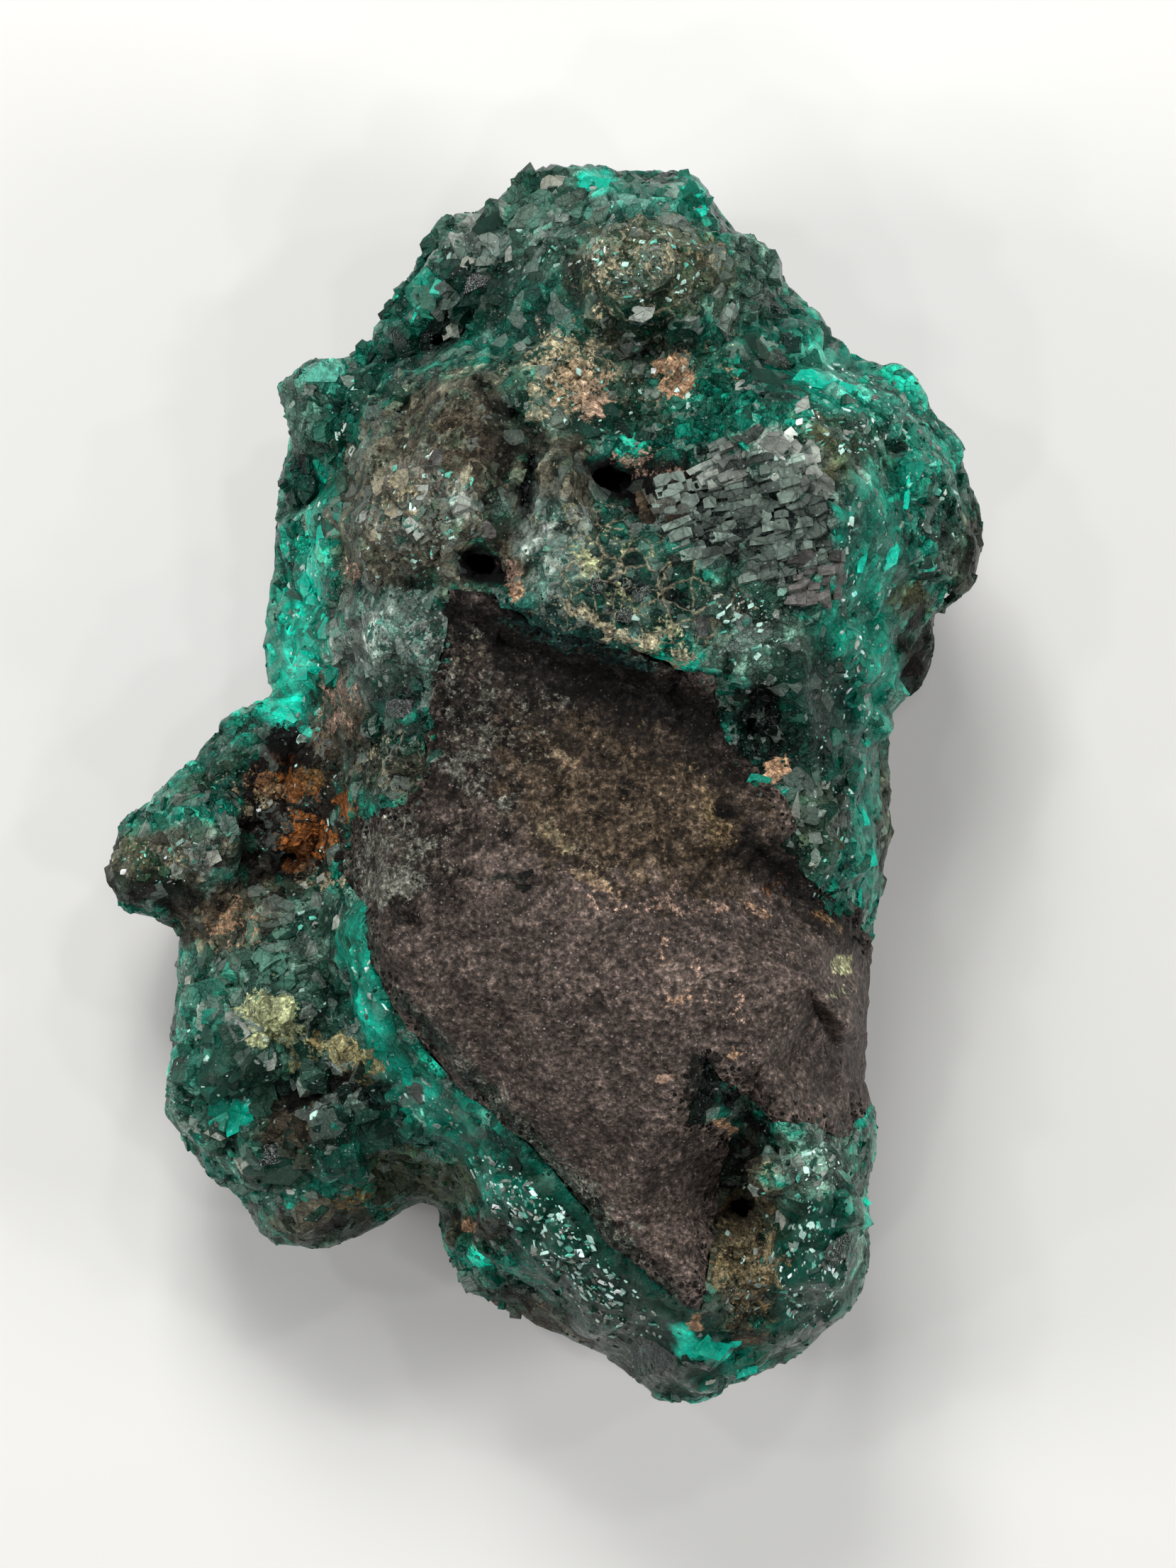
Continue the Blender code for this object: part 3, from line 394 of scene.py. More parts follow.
    ("sea green", 1.6, -23.2, 1.3, 4.2, 46, 0.6),
    ("olive", -4.6, -18.6, 1.8, 1.2, 0, 0.8),
    ("brown", -3.0, -20.9, 1.6, 0.9, 0, 0.9),
    ("copper", -3.3, -20.7, 0.6, 0.4, 0, 0.8),
    ("sea green", -2.8, -22.4, 1.8, 1.4, 0, 0.6),
    ("bright teal", -3.1, -22.3, 0.7, 0.4, 0, 0.9),
    ("brown", 1.6, -25.8, 0.8, 4.6, 60, 0.9),
    ("copper", 0.8, -25.2, 0.5, 2.4, 58, 0.4),
    ("emerald", 2.4, -22.8, 1.7, 5.6, 47, 0.85),
    ("emerald", 5.0, -26.0, 3.8, 2.8, 0, 1.0),
    ("emerald", 9.4, -26.4, 2.6, 1.2, 20, 0.8),
    ("bright teal", 7.4, -26.2, 1.0, 0.45, -15, 1.0),
    ("bright teal", 6.6, -25.4, 0.4, 0.7, 20, 1.0),
    ("teal", 9.4, -27.0, 1.4, 1.0, 20, 0.6),
    # Pocket and the bulge beside it.
    ("brown", 9.4, -20.8, 2.0, 5.0, 0, 0.9),
    ("gold brown", 9.4, -22.0, 1.9, 2.8, -10, 0.7),
    ("cream", 9.6, -22.0, 1.7, 2.4, -10, 0.4),
    ("cream", 10.5, -18.0, 0.8, 1.8, -15, 0.42),
    ("black green", 9.0, -18.4, 0.9, 2.0, 0, 0.9),
    # Painted shade in the top of the pocket.
    ("soot", 9.2, -19.8, 1.4, 1.1, 0, 1.0),
    ("copper", 8.2, -15.5, 0.7, 0.4, -30, 0.8),
    ("copper", 7.1, -24.7, 0.4, 0.4, 0, 0.8),
    ("black green", 11.4, -17.6, 0.25, 2.6, 24, 0.9),
    ("sea green", 13.0, -16.6, 2.2, 0.9, 0, 0.9),
    ("grey green", 12.4, -18.4, 1.1, 1.4, -10, 0.8),
    ("teal", 12.8, -22.2, 1.9, 3.2, 10, 0.7),
    ("emerald", 12.4, -22.4, 2.0, 3.4, 0, 0.9),
    ("grey green", 14.9, -21.4, 0.6, 3.4, 5, 0.8),
    ("grey green", 12.6, -17.0, 1.8, 1.5, 0, 0.85),
    ("bright teal", 14.7, -15.3, 0.5, 0.4, 0, 0.8),
    ("bright teal", 15.1, -20.0, 0.25, 0.7, 0, 0.7),
    ("deep green", 12.0, -25.6, 1.8, 1.0, 30, 0.7),
    # Crack above the pocket, in black green and dark brown: partly its own dark crystals, partly painted
    # shade in the crack.
    ("black green", 7.3, -13.5, 0.8, 1.5, 0, 1.0),
    ("black green", 9.2, -14.7, 0.5, 2.0, 45, 1.0),
    ("black green", 6.6, -15.4, 0.8, 0.9, -45, 0.9),
    ("dark brown", 9.4, -16.4, 1.0, 0.9, 0, 0.8),
    # Pale lace under the fin, ragged mouths of the pits painted black as painted shade, and plates of the
    # lump with a painted silvery reflection.
    ("deep green", 4.5, 8.9, 3.2, 1.7, -14, 0.8),
    ("lichen", 2.0, 10.4, 0.5, 2.4, 20, 0.6),
    ("lichen", 4.4, 7.9, 3.2, 0.5, -25, 0.5),
    ("lichen", 4.6, 10.6, 2.4, 0.4, -20, 0.5),
    ("lichen", 3.4, 9.2, 0.3, 1.6, 35, 0.45),
    ("black green", 3.4, 8.9, 0.8, 0.6, 0, 0.7),
    ("black green", 5.6, 8.7, 1.0, 0.6, -20, 0.7),
    ("pit black", -2.5, 9.9, 1.2, 0.6, -15, 1.0),
    ("pit black", 3.5, 13.6, 1.7, 0.5, -28, 0.95),
    ("silver", -6.6, 12.0, 1.2, 1.0, -20, 0.5),
    ("lilac grey", -5.4, 13.8, 1.6, 0.9, -30, 0.5),
    # Net of veins.
    ("vein net", 4.2, 8.7, 3.9, 2.3, -14, 1.0),
    ("vein net", 2.6, 11.4, 1.3, 1.3, 0, 1.0),
    ("vein net", 2.0, 18.6, 3.0, 2.2, 10, 0.35),
    ("vein net", 5.0, 23.7, 2.9, 2.0, 0, 0.75),
    ("vein net", -4.6, 16.4, 2.0, 2.2, -36, 0.4),
    ("vein net", -6.8, 0.9, 1.4, 1.5, 0, 0.6),
    ("vein net", 10.0, -20.6, 1.6, 3.4, -10, 0.25),
    ("cream", 3.4, 7.0, 0.4, 3.4, 62, 0.7),
    # Cells of glassy green between the veins.
    ("deep green", 2.7, 8.7, 0.8, 0.6, 0, 1.0),
    ("deep green", 5.4, 9.3, 0.45, 0.9, -55, 1.0),
    ("deep green", 5.0, 8.1, 0.6, 0.4, 0, 1.0),
    ("deep green", 3.3, 9.7, 0.5, 0.4, 0, 1.0),
    ("deep green", 6.9, 7.2, 0.5, 0.4, 0, 1.0),
    ("deep green", 4.0, 7.5, 0.45, 0.35, 0, 1.0),
    ("deep green", 6.3, 8.2, 0.45, 0.4, 0, 1.0),
    ("deep green", 4.1, 10.1, 0.55, 0.35, 0, 0.9),
    ("black green", -4.8, 5.6, 0.3, 3.4, 4, 0.7),
    ("emerald", -7.0, 4.9, 1.3, 0.35, 20, 0.8),
    ("deep green", -5.6, 8.2, 1.6, 0.6, -15, 0.7),
    ("black green", -6.3, 3.9, 0.8, 0.5, 0, 0.9),
    # Mouths of the pits and of other deep hollows, painted black and black green as painted shade.
    ("pit black", -2.7, 10.05, 0.95, 0.7, 0, 1.0),
    ("pit black", 3.2, 14.0, 1.0, 0.8, -25, 1.0),
    ("pit black", 4.6, 13.6, 1.0, 0.45, -20, 0.9),
    ("pit black", 9.3, -19.6, 0.6, 0.6, 0, 0.9),
    ("pit black", -11.5, -14.8, 0.5, 0.4, 0, 1.0),
    ("pit black", -10.8, -3.1, 0.6, 0.4, 0, 0.9),
    ("pit black", -12.1, 1.7, 0.8, 0.4, 0, 0.9),
    ("black green", -5.4, 20.6, 0.9, 0.7, 0, 0.9),
    ("black green", 10.1, 3.6, 0.7, 1.6, 5, 1.0),
]

# Single crystals that stand out: kind, x, y, half width, half length, turn, colour.
LANDMARKS = [
    ("block", 0.3, 28.1, 0.75, 0.6, 10, "pale"),
    ("block", 2.6, 28.0, 0.8, 0.4, -8, "bright teal"),
    ("block", 2.9, 26.4, 0.8, 0.5, 40, "grey green"),
    ("block", 7.1, 27.7, 0.45, 0.3, -30, "bright teal"),
    ("block", 7.2, 26.6, 0.5, 0.25, 20, "bright teal"),
    ("block", -3.5, 26.2, 0.45, 0.3, 40, "silver"),
    ("block", -1.3, 24.7, 0.4, 0.35, 10, "silver"),
    ("block", -4.0, 25.5, 0.3, 0.45, 30, "silver"),
    ("block", -3.4, 24.4, 0.35, 0.25, 0, "pale"),
    ("block", -2.4, 26.0, 0.85, 0.6, 30, "emerald"),
    ("block", -0.4, 26.4, 0.9, 0.7, -15, "grey green"),
    ("block", 1.3, 27.0, 0.7, 0.5, 20, "grey green"),
    ("block", -4.0, 21.3, 0.5, 0.3, 25, "pale"),
    ("block", -4.8, 23.2, 0.3, 0.4, -20, "bright teal"),
    ("block", -5.7, 22.0, 0.25, 0.4, -20, "bright teal"),
    ("block", -3.4, 22.9, 1.2, 0.6, 10, "deep green"),
    ("block", 4.6, 21.5, 0.5, 0.35, -10, "silver"),
    ("block", 2.0, 16.2, 0.7, 0.5, 20, "deep green"),
    ("block", 3.3, 17.1, 0.5, 0.45, 0, "emerald"),
    ("block", 3.1, 15.5, 0.3, 0.6, -50, "sea green"),
    ("block", 9.8, 20.2, 0.9, 0.5, -10, "emerald"),
    ("block", 11.3, 20.4, 0.7, 0.5, 15, "deep green"),
    ("block", 10.5, 18.5, 0.9, 0.5, -20, "emerald"),
    ("block", 9.3, 18.3, 0.4, 0.3, 10, "silver"),
    ("block", 12.5, 18.7, 0.8, 0.4, -20, "bright teal"),
    ("block", 14.0, 18.3, 0.5, 0.25, -10, "bright teal"),
    ("block", 12.4, 15.2, 0.32, 0.55, 15, "silver"),
    ("block", 11.9, 17.3, 0.38, 0.24, 25, "silver"),
    ("block", 16.0, 10.5, 0.55, 0.45, 30, "bright teal"),
    ("block", 14.7, 10.3, 0.2, 0.6, -5, "bright teal"),
    ("block", 18.0, 10.1, 0.3, 0.2, 0, "bright teal"),
    ("block", 17.2, 14.5, 0.5, 0.4, 10, "teal"),
    ("block", 16.9, 13.5, 0.12, 0.8, -8, "bright teal"),
    ("block", 17.0, 8.8, 0.75, 0.45, 10, "olive"),
    ("block", 17.3, 5.8, 0.6, 0.7, 0, "dark brown"),
    ("block", 8.5, 2.0, 0.3, 0.4, 0, "teal"),
    ("block", 10.0, 0.2, 0.5, 0.25, -20, "teal"),
    ("prism", 11.65, -1.1, 0.32, 0.9, -8, "pale"),
    ("block", 13.0, 0.0, 0.25, 0.2, 0, "pale"),
    ("block", 12.4, -3.5, 0.25, 0.2, 20, "pale"),
    ("block", 13.0, -1.3, 0.55, 0.4, 0, "emerald"),
    ("block", 13.5, -2.7, 0.55, 0.3, 10, "olive"),
    ("block", 15.0, -1.5, 0.25, 0.4, 10, "bright teal"),
    ("block", 15.4, -3.2, 0.2, 0.6, 10, "bright teal"),
    ("block", 14.8, -5.3, 0.2, 0.5, -20, "bright teal"),
    ("block", -17.0, -3.9, 0.4, 0.3, 20, "silver"),
    ("block", -15.4, -3.3, 0.3, 0.4, 30, "pale"),
    ("block", -13.0, -1.0, 0.35, 0.15, 20, "pale"),
    ("block", -10.2, -4.3, 0.45, 0.15, 15, "pale"),
    ("block", -11.0, -4.8, 0.35, 0.18, -40, "pale"),
    ("block", -9.5, -6.4, 0.25, 0.35, 0, "pale"),
    ("block", -14.2, -11.2, 0.4, 0.8, 35, "silver"),
    ("block", -12.6, -12.9, 0.25, 0.4, 10, "silver"),
    ("block", -15.5, -10.8, 0.35, 0.35, 0, "teal"),
    ("block", -14.2, -15.7, 0.7, 0.5, 25, "bright teal"),
    ("block", -15.1, -15.0, 0.5, 0.5, 0, "teal"),
    ("block", -15.3, -16.4, 0.45, 0.16, -25, "pale"),
    ("block", -13.6, -17.6, 0.6, 0.2, 35, "pale"),
    ("block", -14.1, -17.9, 0.4, 0.15, -60, "pale"),
    ("block", -16.6, -9.2, 0.25, 0.2, 0, "pale"),
    ("block", -12.0, -18.0, 0.9, 0.7, 0, "emerald"),
    ("block", -11.7, -19.7, 0.25, 0.2, 0, "bright teal"),
    ("block", -8.0, -16.1, 1.3, 1.0, 20, "deep green"),
    ("block", -10.7, -20.0, 1.0, 0.8, 30, "stone brown"),
    ("block", 7.7, -26.2, 0.9, 0.4, -15, "bright teal"),
    ("block", 9.0, -26.0, 0.3, 0.25, 0, "bright teal"),
    ("block", 9.6, -27.4, 0.5, 0.25, 20, "bright teal"),
    ("block", 7.9, -28.0, 0.25, 0.1, 10, "pale"),
    ("block", 11.0, -19.9, 0.2, 0.3, 0, "pale"),
    ("block", 11.2, -20.1, 0.22, 0.4, 10, "pale"),
    ("block", -3.6, 12.8, 0.45, 0.42, 15, "silver"),
    ("block", -2.5, 11.6, 0.45, 0.36, -60, "lilac grey"),
    ("block", -6.5, 12.5, 0.4, 0.25, 20, "silver"),
    ("block", -5.5, 11.5, 0.35, 0.2, 40, "silver"),
    ("block", -7.5, 11.5, 0.35, 0.3, 0, "cream chip"),
    ("block", -7.3, 13.6, 0.4, 0.3, 30, "cream chip"),
    ("block", -6.3, 13.9, 0.3, 0.45, 10, "cream chip"),
    ("block", -5.5, 13.3, 0.35, 0.35, 0, "silver"),
    ("block", -6.7, 12.6, 0.3, 0.4, -20, "cream chip"),
    ("block", -5.9, 11.9, 0.4, 0.3, 40, "silver"),
    ("block", -4.7, 15.0, 0.28, 0.42, 10, "lilac grey"),
    ("block", -8.1, 12.4, 0.3, 0.3, 15, "silver"),
    ("block", -11.2, 5.6, 0.35, 0.7, 0, "bright teal"),
    ("block", -10.7, 9.0, 0.3, 0.6, -10, "bright teal"),
    ("block", -10.3, 11.6, 0.3, 0.6, 0, "bright teal"),
    ("block", -12.0, 3.3, 0.6, 0.3, -25, "bright teal"),
    ("block", -10.9, 2.4, 0.3, 0.2, -30, "bright teal"),
    ("block", -10.2, 19.2, 0.7, 0.4, 0, "pale teal"),
]

# Clear crystals: x, y, half width, half length, turn.
CLEAR_CRYSTALS = [
    (5.4, -26.4, 1.3, 1.0, 20), (-6.4, 3.5, 0.75, 0.45, 0), (2.5, 8.9, 0.55, 0.4, 10),
    (4.0, 7.7, 0.55, 0.35, -10), (4.6, 8.6, 0.45, 0.35, 20), (-2.9, 23.4, 0.7, 0.4, 15),
    (-12.6, -17.2, 0.6, 0.5, 10), (7.3, 7.2, 0.3, 0.5, 0),
    (10.9, 19.7, 0.7, 0.4, -10), (13.6, -21.4, 0.7, 0.5, 30), (-5.6, -14.2, 0.6, 0.4, -44),
]

# Beds of split slabs: x, y, columns, rows, turn, step along, step across, lean x, lean y, colour, rise.
SLAB_BEDS = [
    (6.2, 10.2, 9, 9, 12, 0.78, 0.44, -0.1, 0.3, "slate", 0.16),
    (9.2, 9.2, 5, 3, 12, 0.8, 0.44, -0.1, 0.3, "slate", 0.16),
    (4.6, 11.9, 4, 4, 8, 0.55, 0.4, 0.0, 0.15, "brown", 0.12),
    (11.4, 8.4, 4, 4, 8, 0.62, 0.55, 0.1, 0.25, "lilac grey", 0.16),
    (12.0, 12.8, 2, 5, 37, 0.8, 0.72, 0.0, 0.15, "silver", 0.16),
    (7.9, 13.4, 2, 5, 22, 1.05, 0.38, -0.05, 0.3, "silver", 0.2),
    (8.2, 15.1, 3, 2, 24, 0.8, 0.34, 0.0, 0.2, "slate", 0.15),
]

# Grooves and steps worn into the crust: x, y, half width, half length, turn, depth.
DENTS = [
    (-0.5, 13.5, 0.4, 2.0, -8, 1.0), (2.3, 12.6, 0.35, 1.7, 20, 0.6), (-1.9, 17.4, 0.4, 2.6, 49, 0.7),
    (-5.3, 17.8, 0.4, 1.9, -50, 0.6), (-7.7, 13.8, 0.4, 3.4, -26, 0.6), (-6.4, 9.2, 0.35, 2.6, 90, 0.6),
    (2.7, 8.7, 0.7, 0.5, 0, 0.5), (5.4, 9.3, 0.45, 0.8, -55, 0.5), (4.0, 7.5, 0.5, 0.4, 0, 0.4),
    (6.3, 8.2, 0.5, 0.45, 0, 0.4), (4.1, 10.1, 0.6, 0.4, 0, 0.4), (4.6, 20.2, 3.0, 0.6, 0, 0.8),
    (-3.6, 21.6, 1.6, 0.9, 10, 0.8), (3.2, 14.0, 1.2, 0.9, -25, 0.8), (-2.7, 10.1, 1.1, 0.9, 0, 0.8),
    (11.4, -17.6, 0.3, 2.6, 24, 0.5), (7.3, -13.5, 0.7, 1.4, 0, 0.6), (9.2, -14.7, 0.4, 1.8, 45, 0.6),
    (9.0, -18.4, 0.9, 1.8, 0, 0.6), (-11.5, -14.8, 0.7, 0.5, 0, 0.8), (-10.8, -15.8, 0.3, 2.2, 10, 0.6),
    (-8.2, -13.9, 2.0, 0.4, -10, 0.6), (10.1, 3.2, 0.8, 1.8, 5, 0.8), (7.4, 14.9, 1.6, 0.3, 22, 0.4),
    (8.2, 23.4, 0.35, 2.0, -10, 0.6), (1.5, 23.6, 0.35, 2.0, 10, 0.6), (4.8, 26.1, 2.6, 0.35, 0, 0.5),
    (1.25, 14.2, 0.45, 1.4, 10, -0.9), (0.75, 12.4, 0.4, 1.3, -20, -0.8), (-0.5, 10.6, 0.4, 1.1, -40, -0.6),
    (-6.2, 17.6, 0.5, 0.8, 0, 0.4),
]

# Grooves and steps worn into the rock face, in the same order of values.
ROCK_DENTS = [
    (-0.9, -4.3, 0.3, 1.4, 80, 0.6), (-6.3, -5.2, 0.35, 2.2, -58, 0.4), (2.0, -4.0, 0.4, 3.0, 62, 0.25),
    (7.6, -0.4, 0.6, 3.0, 40, 0.5), (11.6, -4.6, 0.5, 3.4, 52, 0.4), (-3.4, -1.0, 0.5, 3.4, 20, 0.25),
    (4.6, -11.6, 0.4, 3.0, 15, 0.2), (9.0, -9.0, 0.5, 2.6, -30, 0.2),
]

# Ovals of crystals: x, y, half width, half length, turn, kind, count, size from, to, stand, wobble.
DOME_FIELDS = [
    (-3.6, 24.6, 5.2, 2.6, 42, "block", 240, 0.2, 0.8, 0.2, 0.32),
    (3.2, 26.8, 5.0, 1.7, -4, "block", 150, 0.2, 0.75, 0.2, 0.3),
    (10.2, 22.2, 4.0, 1.8, -52, "block", 140, 0.2, 0.7, 0.2, 0.32),
    (4.0, 18.4, 6.4, 2.6, -5, "block", 420, 0.12, 0.45, 0.3, 0.5),
    (3.5, 16.2, 5.0, 1.6, -5, "prism", 80, 0.1, 0.26, 0.5, 0.8),
]
NODULE_FIELDS = [
    (5.0, 23.5, 3.0, 2.2, 0, "grain", 620, 0.05, 0.17, 0.5, 0.9),
    (4.8, 20.9, 2.8, 0.7, 0, "block", 70, 0.15, 0.4, 0.3, 0.5),
]
STRIP_FIELDS = [
    (-10.5, 11.4, 1.6, 8.0, 0, "block", 190, 0.15, 0.55, 0.2, 0.3),
    (-8.2, 18.4, 2.0, 3.0, -30, "block", 150, 0.15, 0.6, 0.2, 0.35),
]
SHOULDER_FIELDS = [
    (14.8, 17.8, 3.6, 1.5, -32, "block", 80, 0.1, 0.35, 0.1, 0.25),
    (17.6, 13.0, 1.8, 3.8, 10, "block", 120, 0.12, 0.4, 0.15, 0.4),
    (13.4, 16.2, 2.2, 1.5, 0, "grain", 240, 0.05, 0.14, 0.4, 0.9),
]
FLANK_FIELDS = [
    (14.4, 7.0, 1.6, 6.2, 0, "block", 90, 0.1, 0.32, 0.1, 0.3),
    (13.2, -1.2, 1.9, 4.8, 6, "block", 150, 0.14, 0.55, 0.2, 0.45),
    (9.9, 2.6, 1.6, 2.8, 10, "block", 70, 0.12, 0.42, 0.3, 0.7),
]
LOBE_FIELDS = [
    (-12.6, -13.4, 4.6, 6.8, 8, "block", 460, 0.16, 0.7, 0.2, 0.35),
    (-12.6, -10.8, 1.9, 1.4, 0, "grain", 700, 0.05, 0.17, 0.6, 0.9),
    (-9.3, -12.6, 2.2, 0.9, 0, "grain", 380, 0.05, 0.15, 0.6, 0.9),
    (-7.6, -17.4, 2.6, 2.4, 0, "block", 90, 0.2, 0.9, 0.3, 0.35),
]
SPUR_FIELDS = [
    (-16.6, -1.8, 3.8, 2.2, 35, "block", 170, 0.14, 0.5, 0.25, 0.4),
    (-11.4, -2.2, 2.6, 5.4, 0, "grain", 560, 0.07, 0.24, 0.5, 0.9),
    (-11.4, -2.2, 2.6, 5.4, 0, "block", 190, 0.12, 0.5, 0.4, 0.7),
]
RIM_FIELDS = [
    (0.2, -20.6, 1.6, 5.2, 45, "block", 160, 0.06, 0.2, 0.2, 0.6),
    (2.8, -24.8, 1.2, 3.6, 52, "block", 90, 0.1, 0.3, 0.2, 0.5),
    (-3.0, -21.8, 1.7, 1.6, 0, "block", 70, 0.12, 0.38, 0.2, 0.5),
    (-4.4, -18.4, 1.8, 1.4, 0, "block", 60, 0.12, 0.36, 0.2, 0.5),
]
TIP_FIELDS = [
    (8.2, -26.6, 3.6, 1.3, 18, "block", 80, 0.1, 0.32, 0.2, 0.5),
    (12.8, -21.6, 1.6, 3.8, 0, "block", 80, 0.06, 0.2, 0.3, 0.8),
]
POCKET_FIELDS = [
    (9.6, -22.6, 1.6, 2.8, 0, "grain", 520, 0.05, 0.17, 0.5, 0.9),
    (9.6, -22.6, 1.6, 2.8, 0, "block", 130, 0.08, 0.24, 0.4, 0.9),
    (9.8, -17.2, 1.2, 1.8, 0, "block", 80, 0.08, 0.26, 0.4, 0.8),
]
LUMP_FIELDS = [
    (-5.0, 13.6, 3.2, 4.8, -36, "grain", 620, 0.06, 0.22, 0.5, 0.9),
    (-6.2, 11.6, 2.8, 1.9, 0, "block", 200, 0.08, 0.32, 0.3, 0.5),
    (-4.4, 15.0, 2.4, 2.8, -36, "block", 100, 0.08, 0.3, 0.3, 0.6),
]
BROW_FIELDS = [
    (4.2, 8.8, 3.6, 2.3, -10, "block", 90, 0.1, 0.4, 0.1, 0.4),
    (9.2, 7.4, 2.4, 2.0, 0, "grain", 320, 0.04, 0.13, 0.4, 0.9),
    (0.8, 10.4, 1.6, 2.6, 0, "grain", 260, 0.05, 0.16, 0.4, 0.9),
    (-6.5, 6.5, 2.0, 2.7, 0, "grain", 560, 0.05, 0.17, 0.4, 0.9),
    (-6.2, 6.4, 2.0, 2.6, 0, "block", 120, 0.07, 0.22, 0.4, 0.6),
    (-6.6, 1.6, 1.8, 2.2, 0, "block", 130, 0.12, 0.45, 0.3, 0.6),
]

# Ovals of small flakes painted bright as glints: x, y, half width, half length, turn, count, direction of the
# flakes.
GLINT_FLAKE_FIELDS = [
    (0.2, -20.6, 1.3, 4.8, 45, 330, -50), (-5.6, -14.4, 0.8, 2.8, 44, 50, -50),
    (-7.8, -10.0, 0.6, 2.6, 14, 30, -60), (3.0, -24.0, 1.4, 3.2, 50, 90, -50),
    (12.6, -22.4, 1.6, 3.0, 0, 170, 70), (12.6, -18.0, 1.2, 1.6, 0, 60, 80),
    (14.8, 8.0, 1.3, 6.0, 0, 90, 60), (14.0, 3.0, 1.5, 4.0, 0, 60, 60), (13.4, -2.6, 1.5, 3.0, 0, 60, 80),
    (15.0, 17.8, 3.6, 1.4, -30, 110, -40), (18.2, 13.0, 1.4, 3.4, 10, 70, 50),
    (13.5, 16.4, 2.2, 1.2, -10, 80, 0), (5.0, 23.8, 2.8, 1.8, 0, 90, 0),
    (-11.0, 8.0, 1.2, 6.2, 0, 90, 70), (-13.0, -14.0, 4.4, 6.0, 8, 130, 30),
    (1.0, 25.6, 6.5, 2.4, 0, 130, 30), (3.4, 18.2, 4.0, 2.2, 0, 80, 40), (9.2, 7.2, 1.8, 1.8, 0, 50, 20),
    (-17.5, -3.5, 2.4, 1.2, 8, 70, 20), (-11.4, -2.4, 2.4, 4.6, 0, 70, 20),
    (4.4, 8.6, 3.4, 2.0, 0, 15, 20), (-5.8, 12.2, 3.0, 3.4, 0, 110, 40), (9.6, -21.6, 1.4, 3.4, 0, 70, 60),
    (10.0, 14.8, 2.0, 1.2, 20, 40, 20), (-8.0, 18.0, 1.8, 3.0, -30, 50, 60),
]

# Seam between the rock face and the crystals.
SEAM = [
    (-4.0, 8.9), (-2.5, 8.7), (-1.0, 7.8), (0.0, 7.0), (2.0, 6.7), (4.0, 6.3), (5.0, 5.6), (6.5, 5.2),
    (7.8, 5.0), (8.1, 3.2), (8.3, 2.0), (10.0, 0.3), (11.0, -0.8), (12.0, -4.0), (13.0, -5.0),
    (14.5, -6.0), (15.3, -8.0), None,
    (15.0, -14.8), (14.0, -16.2), (12.5, -15.5), (10.8, -15.3), (9.5, -13.9), (8.2, -13.3),
    (7.5, -12.1), (6.9, -13.8), (6.5, -15.6), (7.7, -15.5), (8.6, -16.2), (8.2, -17.6), (7.8, -20.0),
    (7.5, -22.0), (7.2, -24.2), (6.4, -23.5), (5.0, -22.3), (3.5, -21.0), (1.0, -18.0),
    (-0.3, -16.5), (-2.0, -15.0), (-3.2, -14.2), (-5.0, -12.3), (-7.0, -9.3), (-7.6, -8.0),
    (-7.7, -5.8), (-8.9, -4.5), (-9.0, -3.0), (-8.5, -1.8), (-6.0, -1.0), (-5.2, 1.0), (-4.6, 5.0),
    (-4.3, 7.0), (-4.0, 8.9),
]

# Edge of the upper dome as it lies on the floor, from its right foot over the top to its left one.
DOME_EDGE = [
    (14.0, 20.4), (12.0, 23.2), (10.1, 25.3), (8.2, 27.2), (7.4, 28.7), (5.0, 29.0), (2.4, 29.2),
    (-0.2, 29.0), (-1.7, 28.1), (-3.4, 27.2), (-4.9, 26.2), (-6.3, 24.2), (-7.5, 22.2), (-8.2, 20.7),
]

# Mouths of the deep pits, which stay free of crystals: x, y, reach.
PIT_MOUTHS = [(-2.7, 10.0, 0.85), (3.2, 14.0, 1.05), (9.3, -19.7, 0.9), (18.9, 9.0, 0.6)]


def linear(screen_colour):
    """Screen red, green and blue, 0 to 255, as linear values."""
    shares = np.array(screen_colour, float) / 255.0
    return np.where(shares <= 0.04045, shares / 12.92, ((shares + 0.055) / 1.055) ** 2.4)


def oval_place(points, x, y, half_width, half_length, turn):
    """Where points lie across and along a turned oval, in shares of its half sizes."""
    angle = math.radians(turn)
    dx = points[:, 0] - x
    dy = points[:, 1] - y
    across = (dx * math.cos(angle) + dy * math.sin(angle)) / half_width
    along = (dy * math.cos(angle) - dx * math.sin(angle)) / half_length
    return across, along


def patch_share(points, frays, index, patch, softness):
    """How much of a patch lies on each point: an oval with frayed edges."""
    _, *oval, strength = patch
    across, along = oval_place(points, *oval)
    fray = 0.6 * (math.cos(index * 1.7) * frays[0] + math.sin(index * 1.7) * frays[1])
    share = (1.0 + 0.5 * softness + fray - np.hypot(across, along)) / softness
    return np.clip(share, 0.0, 1.0) * strength


